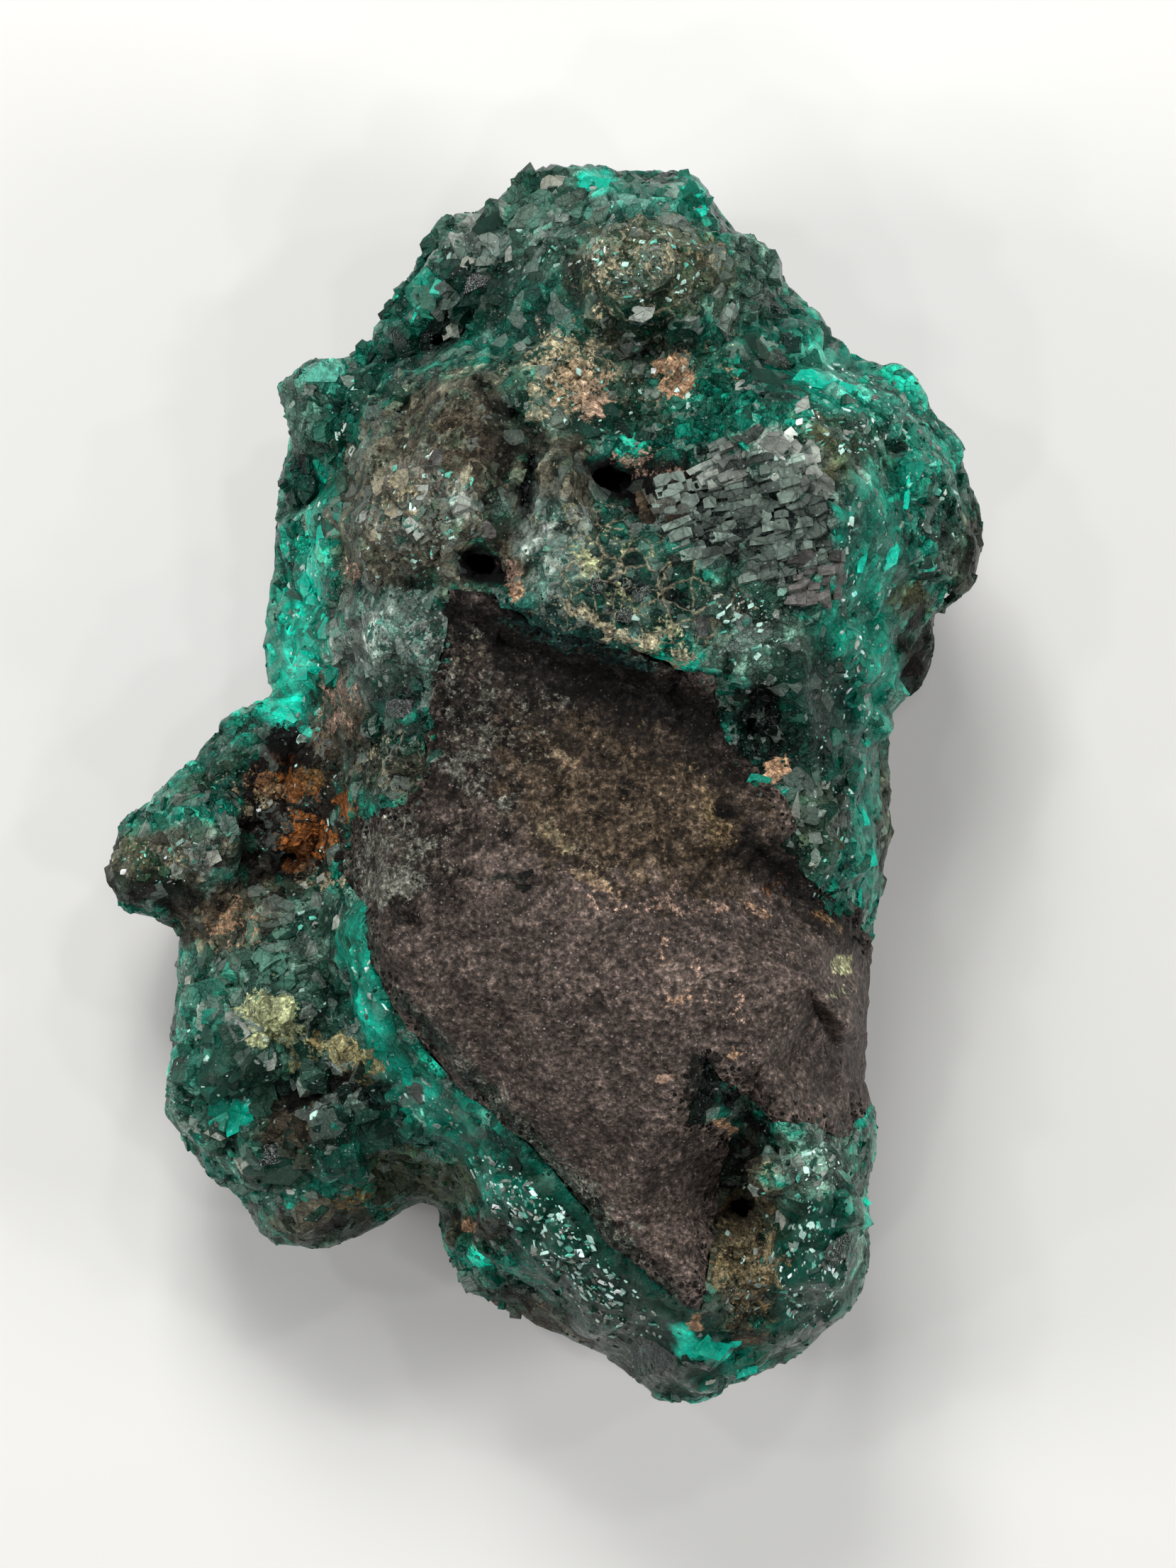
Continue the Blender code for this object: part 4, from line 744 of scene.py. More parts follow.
def painted(points, ground, patches):
    """Tint, finish and stain of each point, given in millimetres, patch over patch."""
    colour, *finish = TINTS[ground]
    tint = np.tile(linear(colour), (len(points), 1))
    finishes = np.tile((*finish, 0.0), (len(points), 1))
    stain = np.zeros((len(points), 4))
    places = [Vector(point) for point in points]
    frays = (
        np.array([noise.noise(place * 0.9) + 0.6 * noise.noise(place * 2.7) for place in places]),
        np.array([noise.noise(place * 1.3 + Vector((40.0, 7.0, 3.0))) for place in places]),
    )
    for index, patch in enumerate(patches):
        if patch[0] == "vein net":
            finishes[:, 3] = np.maximum(finishes[:, 3], patch_share(points, frays, index, patch, 0.5))
        elif patch[0] in STAINS:
            share = patch_share(points, frays, index, patch, 0.9)
            weight = share / np.maximum(share + stain[:, 3], 1e-6)
            stain[:, :3] += (linear(STAINS[patch[0]]) - stain[:, :3]) * weight[:, None]
            stain[:, 3] = np.maximum(stain[:, 3], share)
        else:
            colour, *finish = TINTS[patch[0]]
            share = patch_share(points, frays, index, patch, 0.4)[:, None]
            tint += (linear(colour) - tint) * share
            finishes[:, :3] += (np.array(finish) - finishes[:, :3]) * share
    return {"tint": tint, "finish": finishes, "stain": stain}


def node_copy(node):
    """A merged copy of a CAD node's mesh as a bmesh in millimetres."""
    mesh = bmesh.new()
    mesh.from_mesh(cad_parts[node].data)
    bmesh.ops.scale(mesh, vec=(1.0 / MM,) * 3, verts=mesh.verts)
    bmesh.ops.remove_doubles(mesh, verts=mesh.verts, dist=1e-4)
    return mesh


def mark_contact(mesh, other):
    """Mark the faces that lie against the other node, so that they stay coarse."""
    tree = BVHTree.FromBMesh(other)
    for face in mesh.faces:
        place = tree.ray_cast(face.calc_center_median(), face.normal, 0.7)[0]
        face.material_index = CONTACT if place is not None or face.normal.z < -0.9 else OPEN


def refine(mesh, limit):
    """Halve long edges of the open surface until its facets have the wanted size, finer on top."""
    for _ in range(8):
        long_edges = []
        for edge in mesh.edges:
            upward = sum(face.normal.z for face in edge.link_faces) / len(edge.link_faces)
            if edge.calc_length() < limit * (1.0 if upward > 0.3 else 1.7):
                continue
            if any(face.material_index == OPEN for face in edge.link_faces):
                long_edges.append(edge)
        if not long_edges:
            return
        bmesh.ops.subdivide_edges(mesh, edges=long_edges, cuts=1)
        bmesh.ops.triangulate(mesh, faces=mesh.faces[:])


def soften(mesh, rounds):
    """Round off the edges of the open surface."""
    free = [vert for vert in mesh.verts if all(face.material_index == OPEN for face in vert.link_faces)]
    axes = {"use_axis_x": True, "use_axis_y": True, "use_axis_z": True}
    for _ in range(rounds):
        bmesh.ops.smooth_vert(mesh, verts=free, factor=0.5, **axes)


def dent_depths(points, dents):
    """How deep the grooves reach at each point."""
    depths = np.zeros(len(points))
    for *oval, depth in dents:
        across, along = oval_place(points, *oval)
        depths += depth * np.exp(-((across ** 2 + along ** 2) ** 1.5))
    return depths


def round_dome(mesh):
    """Move the dome's outer surface sideways onto the dome's edge."""
    foot = np.array((2.0, 17.0))
    edge = np.array(DOME_EDGE) - foot
    edge_angles = np.arctan2(edge[:, 1], edge[:, 0])
    away = coordinates(mesh)[:, :2] - foot
    angles = np.arctan2(away[:, 1], away[:, 0])
    reaches = np.hypot(away[:, 0], away[:, 1])
    steps = np.linspace(edge_angles[0], edge_angles[-1], 70)
    width = steps[1] - steps[0]
    own = np.array([reaches[np.abs(angles - step) < width].max() for step in steps])
    own = np.convolve(np.pad(own, 1, mode="edge"), (0.25, 0.5, 0.25), mode="valid")
    wanted = np.interp(steps, edge_angles, np.hypot(edge[:, 0], edge[:, 1]))
    ends = np.clip(np.minimum(steps - steps[0], steps[-1] - steps) / 0.25, 0.0, 1.0)
    stretch = np.interp(angles, steps, (wanted / own - 1.0) * ends, left=0.0, right=0.0)
    share = np.clip(reaches / np.interp(angles, steps, own) * 2.5 - 1.5, 0.0, 1.0) ** 2
    for vert, shift in zip(mesh.verts, away * (stretch * share)[:, None]):
        vert.co.x += shift[0]
        vert.co.y += shift[1]


def coordinates(mesh):
    """All vertex places of a bmesh as an array."""
    return np.array([vert.co[:] for vert in mesh.verts])


def fine_copy(node, neighbour, settings):
    """Refined and softened copy of a node's mesh, its faces against the other node kept."""
    mesh = node_copy(node)
    other = node_copy(neighbour)
    mark_contact(mesh, other)
    other.free()
    refine(mesh, settings.edge / MM)
    soften(mesh, settings.softening)
    mesh.normal_update()
    return mesh


def broken_facet(place, size):
    """Height of the flat facet at a place, which leans its own way, and that facet's random vector."""
    _, centres = noise.voronoi(place / size)
    centre = centres[0]
    chance = noise.cell_vector(centre * 17.3)
    lean = chance - Vector((0.5, 0.5, 0.5))
    return (place / size - centre).dot(lean) + 0.5 * lean.z, chance


def hollows(mesh, rounds):
    """How far each vertex lies below its surroundings, in millimetres."""
    points = coordinates(mesh)
    mesh.normal_update()
    normals = np.array([vert.normal[:] for vert in mesh.verts])
    mesh.verts.index_update()
    ends = np.array([(edge.verts[0].index, edge.verts[1].index) for edge in mesh.edges])
    counts = np.bincount(ends.ravel(), minlength=len(points))[:, None]
    smooth = points.copy()
    for _ in range(rounds):
        total = np.zeros_like(smooth)
        np.add.at(total, ends[:, 0], smooth[ends[:, 1]])
        np.add.at(total, ends[:, 1], smooth[ends[:, 0]])
        smooth = total / counts
    return ((smooth - points) * normals).sum(axis=1)


def store_colours(data, name, values):
    """Write one colour for each vertex into a named attribute."""
    attribute = data.attributes.new(name, "FLOAT_COLOR", "POINT")
    full = np.ones((len(values), 4), np.float32)
    full[:, :values.shape[1]] = values
    attribute.data.foreach_set("color", full.ravel())


def finish_piece(name, mesh, surface_material, paint, smooth=False):
    """Turn a bmesh in millimetres into a painted piece of the specimen."""
    bmesh.ops.scale(mesh, vec=(MM,) * 3, verts=mesh.verts)
    data = bpy.data.meshes.new(name)
    mesh.to_mesh(data)
    mesh.free()
    for label, values in paint.items():
        store_colours(data, label, values)
    data.materials.append(surface_material)
    if smooth:
        data.shade_smooth()
    piece = bpy.data.objects.new(name, data)
    bpy.context.scene.collection.objects.link(piece)
    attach(piece, "root")
    return piece


# Materials.


def add_node(tree, kind, **settings):
    """A new node with some of its settings."""
    node = tree.nodes.new(kind)
    for key, value in settings.items():
        setattr(node, key, value)
    return node


def new_group(name, inputs, outputs):
    """An empty shader node group with its sockets, and its input and output nodes."""
    tree = bpy.data.node_groups.new(name, "ShaderNodeTree")
    for direction, labels in (("INPUT", inputs), ("OUTPUT", outputs)):
        for label in labels:
            kind = "NodeSocketVector" if label in VECTOR_SOCKETS else "NodeSocketFloat"
            tree.interface.new_socket(label, in_out=direction, socket_type=kind)
    return tree, add_node(tree, "NodeGroupInput"), add_node(tree, "NodeGroupOutput")


def feed(tree, value, socket):
    """Put a number, a colour or another socket's value into a socket."""
    if isinstance(value, bpy.types.NodeSocket):
        tree.links.new(value, socket)
    else:
        socket.default_value = value


def maths(tree, operation, *values, clamp=False):
    """A maths node whose inputs are sockets or numbers."""
    node = add_node(tree, "ShaderNodeMath", operation=operation, use_clamp=clamp)
    for socket, value in zip(node.inputs, values):
        feed(tree, value, socket)
    return node.outputs[0]


def times(tree, first, second, clamp=False):
    """Product of two sockets or numbers."""
    return maths(tree, "MULTIPLY", first, second, clamp=clamp)


def times_plus(tree, value, factor, offset, clamp=False):
    """A value times a factor plus an offset."""
    return maths(tree, "MULTIPLY_ADD", value, factor, offset, clamp=clamp)


def vectors(tree, operation, *values):
    """A vector maths node whose inputs are sockets or vectors."""
    node = add_node(tree, "ShaderNodeVectorMath", operation=operation)
    for socket, value in zip(node.inputs, values):
        feed(tree, value, socket)
    return node.outputs[0]


def scaled(tree, vector, factor):
    """A colour or vector socket times a factor."""
    node = add_node(tree, "ShaderNodeVectorMath", operation="SCALE")
    feed(tree, vector, node.inputs[0])
    feed(tree, factor, node.inputs["Scale"])
    return node.outputs[0]


def mixed(tree, share, first, second):
    """Mix of two colours."""
    node = add_node(tree, "ShaderNodeMix", data_type="RGBA")
    feed(tree, share, node.inputs["Factor"])
    feed(tree, first, node.inputs[FIRST_COLOUR])
    feed(tree, second, node.inputs[SECOND_COLOUR])
    return node.outputs[MIXED_COLOUR]


def facet_group():
    """Crystal facets: each cell leans its own way, has its own shade, and a mask of its border where the
    material paints shade.
    """
    name = "Crystal facets"
    if name in bpy.data.node_groups:
        return bpy.data.node_groups[name]
    outputs = ("Tilt", "Shade", "Chance", "Polish", "Inside")
    tree, given, out = new_group(name, ("Scale", "Warp"), outputs)
    place = add_node(tree, "ShaderNodeTexCoord")
    waves = add_node(tree, "ShaderNodeTexNoise")
    feed(tree, place.outputs["Object"], waves.inputs["Vector"])
    feed(tree, given.outputs["Scale"], waves.inputs["Scale"])
    centred = vectors(tree, "SUBTRACT", waves.outputs["Color"], (0.5, 0.5, 0.5))
    shift = scaled(tree, centred, given.outputs["Warp"])
    warped = vectors(tree, "ADD", place.outputs["Object"], shift)
    cells = add_node(tree, "ShaderNodeTexVoronoi", feature="F1")
    borders = add_node(tree, "ShaderNodeTexVoronoi", feature="DISTANCE_TO_EDGE")
    for node in (cells, borders):
        feed(tree, warped, node.inputs["Vector"])
        feed(tree, given.outputs["Scale"], node.inputs["Scale"])
    parts = add_node(tree, "ShaderNodeSeparateColor")
    feed(tree, cells.outputs["Color"], parts.inputs[0])
    feed(tree, vectors(tree, "SUBTRACT", cells.outputs["Color"], (0.5, 0.5, 0.5)), out.inputs["Tilt"])
    feed(tree, parts.outputs[0], out.inputs["Shade"])
    feed(tree, parts.outputs[1], out.inputs["Chance"])
    feed(tree, parts.outputs[2], out.inputs["Polish"])
    feed(tree, times(tree, borders.outputs["Distance"], 12.0, clamp=True), out.inputs["Inside"])
    return tree


def grain_group():
    """Grain: fine and broad clouding, and the mask of a stain that lies in grains."""
    name = "Grain and stain"
    if name in bpy.data.node_groups:
        return bpy.data.node_groups[name]
    outputs = ("Clouds", "Grain", "Stain", "Dots")
    tree, given, out = new_group(name, ("Scale", "Stain share"), outputs)
    place = add_node(tree, "ShaderNodeTexCoord")

    def clouding(share, detail):
        node = add_node(tree, "ShaderNodeTexNoise")
        node.inputs["Detail"].default_value = detail
        node.inputs["Roughness"].default_value = 0.68
        feed(tree, place.outputs["Object"], node.inputs["Vector"])
        feed(tree, times(tree, given.outputs["Scale"], share), node.inputs["Scale"])
        return times_plus(tree, node.outputs["Fac"], 2.2, -0.6, clamp=True)

    feed(tree, clouding(0.6, 3.0), out.inputs["Clouds"])
    feed(tree, clouding(4.0, 4.0), out.inputs["Grain"])
    cover = times_plus(tree, clouding(0.9, 2.0), 0.45, times(tree, clouding(4.5, 5.0), 0.6))
    threshold = maths(tree, "SUBTRACT", given.outputs["Stain share"], cover)
    feed(tree, times(tree, threshold, 7.0, clamp=True), out.inputs["Stain"])
    glint_dots = add_node(tree, "ShaderNodeTexVoronoi", feature="F1")
    feed(tree, place.outputs["Object"], glint_dots.inputs["Vector"])
    feed(tree, times(tree, given.outputs["Scale"], 5.5), glint_dots.inputs["Scale"])
    parts = add_node(tree, "ShaderNodeSeparateColor")
    feed(tree, glint_dots.outputs["Color"], parts.inputs[0])
    chosen = maths(tree, "GREATER_THAN", parts.outputs[0], 0.72)
    near = maths(tree, "LESS_THAN", glint_dots.outputs["Distance"], times(tree, parts.outputs[1], 0.34))
    feed(tree, times(tree, chosen, near), out.inputs["Dots"])
    return tree


def streak_group():
    """Cleavage streaks: fine lines that run one way across each facet."""
    name = "Cleavage streaks"
    if name in bpy.data.node_groups:
        return bpy.data.node_groups[name]
    tree, given, out = new_group(name, ("Scale", "Stretch", "Direction"), ("Lines", "Streaks"))
    place = add_node(tree, "ShaderNodeTexCoord")
    across = vectors(tree, "NORMALIZE", vectors(tree, "ADD", given.outputs["Direction"], (0.0, 0.0, 0.01)))
    along = vectors(tree, "CROSS_PRODUCT", across, (0.31, 0.2, 0.93))
    third = vectors(tree, "CROSS_PRODUCT", across, along)
    spot = scaled(tree, place.outputs["Object"], given.outputs["Scale"])
    stretched = add_node(tree, "ShaderNodeCombineXYZ")
    stretches = (given.outputs["Stretch"], 1.2, 1.2)
    for socket, axis, stretch in zip(stretched.inputs, (across, along, third), stretches):
        product = add_node(tree, "ShaderNodeVectorMath", operation="DOT_PRODUCT")
        feed(tree, spot, product.inputs[0])
        feed(tree, axis, product.inputs[1])
        feed(tree, times(tree, product.outputs["Value"], stretch), socket)
    lines = add_node(tree, "ShaderNodeTexNoise")
    lines.inputs["Scale"].default_value = 1.0
    lines.inputs["Detail"].default_value = 2.0
    feed(tree, stretched.outputs[0], lines.inputs["Vector"])
    feed(tree, times_plus(tree, lines.outputs["Fac"], 2.6, -0.8, clamp=True), out.inputs["Lines"])
    feed(tree, times_plus(tree, lines.outputs["Fac"], 9.0, -5.6, clamp=True), out.inputs["Streaks"])
    return tree


def tone(tree, *parts, lift=0.0):
    """Brightness factor: two to the power of a lift plus the centred masks times their weights."""
    total = lift
    for mask, weight in parts:
        total = times_plus(tree, maths(tree, "SUBTRACT", mask, 0.5), weight, total)
    return maths(tree, "POWER", 2.0, total)


def tilted_group():
    """Tilted normal: the surface normal leaning by the tilts of coarse and fine facets."""
    name = "Tilted normal"
    if name in bpy.data.node_groups:
        return bpy.data.node_groups[name]
    inputs = ("Coarse", "Fine", "Coarse tilt", "Fine tilt", "Surface")
    tree, given, out = new_group(name, inputs, ("Normal",))
    coarse = scaled(tree, given.outputs["Coarse tilt"], given.outputs["Coarse"])
    fine = scaled(tree, given.outputs["Fine tilt"], given.outputs["Fine"])
    total = vectors(tree, "ADD", given.outputs["Surface"], vectors(tree, "ADD", coarse, fine))
    feed(tree, vectors(tree, "NORMALIZE", total), out.inputs["Normal"])
    return tree


def group_node(tree, group, **values):
    """A placed node group with its own values or links."""
    node = add_node(tree, "ShaderNodeGroup", node_tree=group)
    for key, value in values.items():
        feed(tree, value, node.inputs[key.replace("_", " ")])
    return node


def new_material(name):
    """A new material's tree, its shader and its painted values."""
    made = bpy.data.materials.new(name)
    made.use_nodes = True
    tree = made.node_tree
    tint = add_node(tree, "ShaderNodeAttribute", attribute_name="tint")
    stain = add_node(tree, "ShaderNodeAttribute", attribute_name="stain")
    finish = add_node(tree, "ShaderNodeAttribute", attribute_name="finish")
    parts = add_node(tree, "ShaderNodeSeparateColor")
    feed(tree, finish.outputs["Color"], parts.inputs[0])
    painted_values = {
        "tint": tint.outputs["Color"],
        "stain": stain.outputs["Color"],
        "share": stain.outputs["Alpha"],
        "roughness": parts.outputs[0],
        "facets": parts.outputs[1],
        "glints": parts.outputs[2],
        "veins": finish.outputs["Alpha"],
    }
    return made, tree, tree.nodes["Principled BSDF"], painted_values


def crystal_material(name):
    """Painted green crystal with small leaning facets, glints and grains of stain."""
    if name in bpy.data.materials:
        return bpy.data.materials[name]
    facet_scale, coarse_lean, fine_lean, shade_range, clear = CRYSTAL_FINISHES[name]
    made, tree, shader, paint = new_material(name)
    shader.inputs["IOR"].default_value = 1.67
    shader.inputs["Specular IOR Level"].default_value = 0.11
    shader.inputs["Transmission Weight"].default_value = clear
    coarse = group_node(tree, facet_group(), Scale=facet_scale, Warp=0.0001)
    fine = group_node(tree, facet_group(), Scale=facet_scale * 3.1, Warp=0.00003)
    net = group_node(tree, facet_group(), Scale=860.0, Warp=0.0009)
    grain = group_node(tree, grain_group(), Scale=1100.0, Stain_share=paint["share"])
    streaks = group_node(tree, streak_group(), Scale=2600.0, Stretch=3.0, Direction=coarse.outputs["Tilt"])
    crumbs = group_node(tree, grain_group(), Scale=1700.0, Stain_share=0.36)
    coarsely = maths(tree, "MAXIMUM", times_plus(tree, paint["roughness"], 4.5, -0.6), 0.35)

    # The painted tint, varied from facet to facet, and darkened along the facets' borders as painted shade.
    shade_weight = times(tree, paint["facets"], 4.6 * shade_range)
    fine_weight = times(tree, paint["facets"], 2.0 * shade_range)
    factor = tone(
        tree, (coarse.outputs["Shade"], shade_weight), (fine.outputs["Shade"], fine_weight),
        (grain.outputs["Clouds"], 1.0), (grain.outputs["Grain"], times(tree, coarsely, 1.2)),
        (crumbs.outputs["Clouds"], coarsely), lift=0.1,
    )
    for facets, depth in ((coarse, -0.7), (fine, -0.3)):
        border_shade = times(tree, maths(tree, "SUBTRACT", 1.0, facets.outputs["Inside"]), paint["facets"])
        factor = times(tree, factor, times_plus(tree, border_shade, depth, 1.0))
    colour = scaled(tree, paint["tint"], factor)

    # Powder on rough places, frosted facets and grains of stain.
    powder = vectors(tree, "ADD", scaled(tree, paint["tint"], 2.0), POWDER)
    powdered = times(tree, maths(tree, "MINIMUM", coarsely, 1.0), paint["glints"])
    colour = mixed(tree, times(tree, crumbs.outputs["Stain"], powdered), colour, powder)
    frost = times(tree, maths(tree, "GREATER_THAN", coarse.outputs["Chance"], 0.86), paint["facets"])
    frost = times(tree, frost, times_plus(tree, streaks.outputs["Lines"], 0.5, 0.5))
    colour = mixed(tree, times(tree, frost, 0.8), colour, FROST)
    stain_factor = tone(tree, (grain.outputs["Grain"], 3.4), (fine.outputs["Shade"], 1.2))
    colour = mixed(tree, grain.outputs["Stain"], colour, scaled(tree, paint["stain"], stain_factor))

    # Pale veins, and painted glints: gleams along the cleavage streaks and bright dots.
    lines = maths(tree, "POWER", maths(tree, "SUBTRACT", 1.0, net.outputs["Inside"]), 1.8)
    broken = times_plus(tree, grain.outputs["Grain"], 3.4, -0.8, clamp=True)
    veins = times(tree, times(tree, lines, broken), paint["veins"])
    colour = mixed(tree, veins, colour, scaled(tree, VEIN, tone(tree, (grain.outputs["Grain"], 2.0))))
    gleam = times(tree, streaks.outputs["Streaks"], times(tree, paint["glints"], 0.55))
    colour = mixed(tree, gleam, colour, vectors(tree, "ADD", scaled(tree, paint["tint"], 2.5), GLEAM))
    glint_dots = times(tree, grain.outputs["Dots"], times(tree, paint["glints"], 0.6))
    colour = mixed(tree, glint_dots, colour, CRYSTAL_GLINT_DOT)
    feed(tree, colour, shader.inputs["Base Color"])

    # Each facet has its own polish and lean, over a low relief of grain and steps.
    polish = times_plus(tree, coarse.outputs["Polish"], 0.9, 0.5)
    polish = times(tree, polish, paint["roughness"])
    dull = times_plus(tree, grain.outputs["Stain"], 0.5, polish, clamp=True)
    feed(tree, dull, shader.inputs["Roughness"])
    surface = add_node(tree, "ShaderNodeBump")
    surface.inputs["Strength"].default_value = 1.0
    surface.inputs["Distance"].default_value = 0.00022
    height = times_plus(tree, grain.outputs["Grain"], 0.7, crumbs.outputs["Clouds"])
    height = times(tree, height, coarsely)
    steps = times_plus(tree, fine.outputs["Shade"], 0.6, coarse.outputs["Shade"])
    steps = times_plus(tree, fine.outputs["Inside"], 0.4, steps)
    height = times_plus(tree, times(tree, steps, paint["facets"]), 0.7, height)
    height = times_plus(tree, veins, 0.6, height)
    feed(tree, height, surface.inputs["Height"])
    tilted = group_node(
        tree, tilted_group(), Coarse_tilt=coarse.outputs["Tilt"], Fine_tilt=fine.outputs["Tilt"],
        Surface=surface.outputs["Normal"], Coarse=times(tree, paint["facets"], coarse_lean),
        Fine=times(tree, paint["glints"], fine_lean),
    )
    feed(tree, tilted.outputs["Normal"], shader.inputs["Normal"])
    return made


def rock_material():
    """Painted fine-grained rock with small glints and grains of stain."""
    made, tree, shader, paint = new_material("host rock")
    grain = group_node(tree, grain_group(), Scale=1050.0, Stain_share=paint["share"])
    gap_share = times_plus(tree, paint["facets"], 0.48, 0.02)
    lumps = group_node(tree, grain_group(), Scale=620.0, Stain_share=gap_share)
    share = times_plus(tree, paint["facets"], 0.36, 0.16)
    crumbs = group_node(tree, grain_group(), Scale=850.0, Stain_share=share)
    cells = group_node(tree, facet_group(), Scale=2300.0, Warp=0.0004)
    scratches = group_node(tree, streak_group(), Scale=2600.0, Stretch=3.5, Direction=cells.outputs["Tilt"])
    shader.inputs["Specular IOR Level"].default_value = 0.15

    # The painted tint with dark gaps of painted shade, pale crumbs, grains of stain and bright dots of
    # painted glints.
    rough = times_plus(tree, paint["facets"], 3.6, 0.7)
    factor = tone(
        tree, (lumps.outputs["Clouds"], 1.2), (lumps.outputs["Grain"], rough),
        (grain.outputs["Clouds"], rough), (grain.outputs["Grain"], 4.4),
        (scratches.outputs["Lines"], 0.8), (cells.outputs["Shade"], 0.9), lift=0.05,
    )
    colour = scaled(tree, paint["tint"], factor)
    # Painted shade in the sunken gaps between the grains.
    colour = mixed(tree, times(tree, lumps.outputs["Stain"], 0.75), colour, ROCK_GAP_SHADE)
    pale = scaled(tree, paint["tint"], tone(tree, (grain.outputs["Grain"], 2.4), lift=2.3))
    colour = mixed(tree, times(tree, crumbs.outputs["Stain"], 0.8), colour, pale)
    stain_factor = tone(tree, (grain.outputs["Grain"], 4.4), (lumps.outputs["Grain"], 2.4), lift=-0.2)
    colour = mixed(tree, grain.outputs["Stain"], colour, scaled(tree, paint["stain"], stain_factor))
    # Painted glints: bright dots.
    colour = mixed(tree, times(tree, grain.outputs["Dots"], paint["glints"]), colour, ROCK_GLINT_DOT)
    feed(tree, colour, shader.inputs["Base Color"])
    dull = times_plus(tree, grain.outputs["Dots"], -0.25, paint["roughness"])
    feed(tree, dull, shader.inputs["Roughness"])

    # A low relief of the same grains and gaps.
    height = times_plus(tree, grain.outputs["Grain"], 0.5, grain.outputs["Clouds"])
    height = times_plus(tree, crumbs.outputs["Stain"], 0.5, height)
    height = times_plus(tree, lumps.outputs["Stain"], -0.8, height)
    height = times_plus(tree, cells.outputs["Shade"], 0.7, height)
    height = times(tree, height, maths(tree, "ADD", paint["facets"], 0.5))
    bump = add_node(tree, "ShaderNodeBump")
    bump.inputs["Strength"].default_value = 1.0
    bump.inputs["Distance"].default_value = 0.0003
    feed(tree, height, bump.inputs["Height"])
    feed(tree, bump.outputs["Normal"], shader.inputs["Normal"])
    return made


# Crystals.


def prism_template():
    """A short six-sided prism with a three-faced tip."""
    mesh = bmesh.new()
    bmesh.ops.create_cone(mesh, cap_ends=True, segments=6, radius1=1.0, radius2=1.0, depth=3.0)
    lean = math.radians(48.0)
    for turn in (30.0, 150.0, 270.0):
        angle = math.radians(turn)
        normal = (math.cos(angle) * math.sin(lean), math.sin(angle) * math.sin(lean), math.cos(lean))
        trim(mesh, (0.0, 0.0, 1.4), normal)
    return template_data("prism", mesh)


def block_template(name, shear, corner):
    """A split block with leaning sides and a broken corner."""
    mesh = bmesh.new()
    bmesh.ops.create_cube(mesh, size=2.0)
    for vert in mesh.verts:
        vert.co.x += shear * vert.co.y
        vert.co.z += 0.5 * shear * vert.co.x
    trim(mesh, corner, corner)
    trim(mesh, (-0.8 * corner[0], 0.9, 0.0), (-0.5, 0.9, 0.05))
    return template_data(name, mesh)


def grain_template():
    """A small rough grain."""
    mesh = bmesh.new()
    bmesh.ops.create_icosphere(mesh, subdivisions=1, radius=1.0)
    for vert in mesh.verts:
        vert.co *= 0.8 + 0.35 * noise.noise(vert.co * 2.3)
    return template_data("grain", mesh)


def trim(mesh, place, normal):
    """Cut away what lies beyond a plane and close the cut."""
    geometry = mesh.verts[:] + mesh.edges[:] + mesh.faces[:]
    bmesh.ops.bisect_plane(mesh, geom=geometry, plane_co=place, plane_no=normal, clear_outer=True)
    bmesh.ops.holes_fill(mesh, edges=[edge for edge in mesh.edges if edge.is_boundary])


def template_data(name, mesh):
    """Keep a template as mesh data that copies are made of."""
    bmesh.ops.recalc_face_normals(mesh, faces=mesh.faces)
    data = bpy.data.meshes.new(name)
    mesh.to_mesh(data)
    mesh.free()
    return data


def surface_tree():
    """The dressed surface of crust and rock for finding where crystals stand, in millimetres."""
    mesh = bmesh.new()
    for name in ("crystal_crust", "host_rock"):
        mesh.from_mesh(bpy.data.objects[name].data)
    bmesh.ops.scale(mesh, vec=(1.0 / MM,) * 3, verts=mesh.verts)
    tree = BVHTree.FromBMesh(mesh)
    mesh.free()
    return tree


def turned(x, y, u, v, angle):
    """Place at a distance along and across a turned direction."""
    return x + u * math.cos(angle) - v * math.sin(angle), y + u * math.sin(angle) + v * math.cos(angle)


def oval_spots(rng, x, y, half_width, half_length, turn, count):
    """Random points spread evenly over a turned oval."""
    angle = math.radians(turn)
    for _ in range(count):
        reach = math.sqrt(rng.random())
        around = rng.uniform(0.0, 2.0 * math.pi)
        u = reach * math.cos(around) * half_width
        v = reach * math.sin(around) * half_length
        yield turned(x, y, u, v, angle)


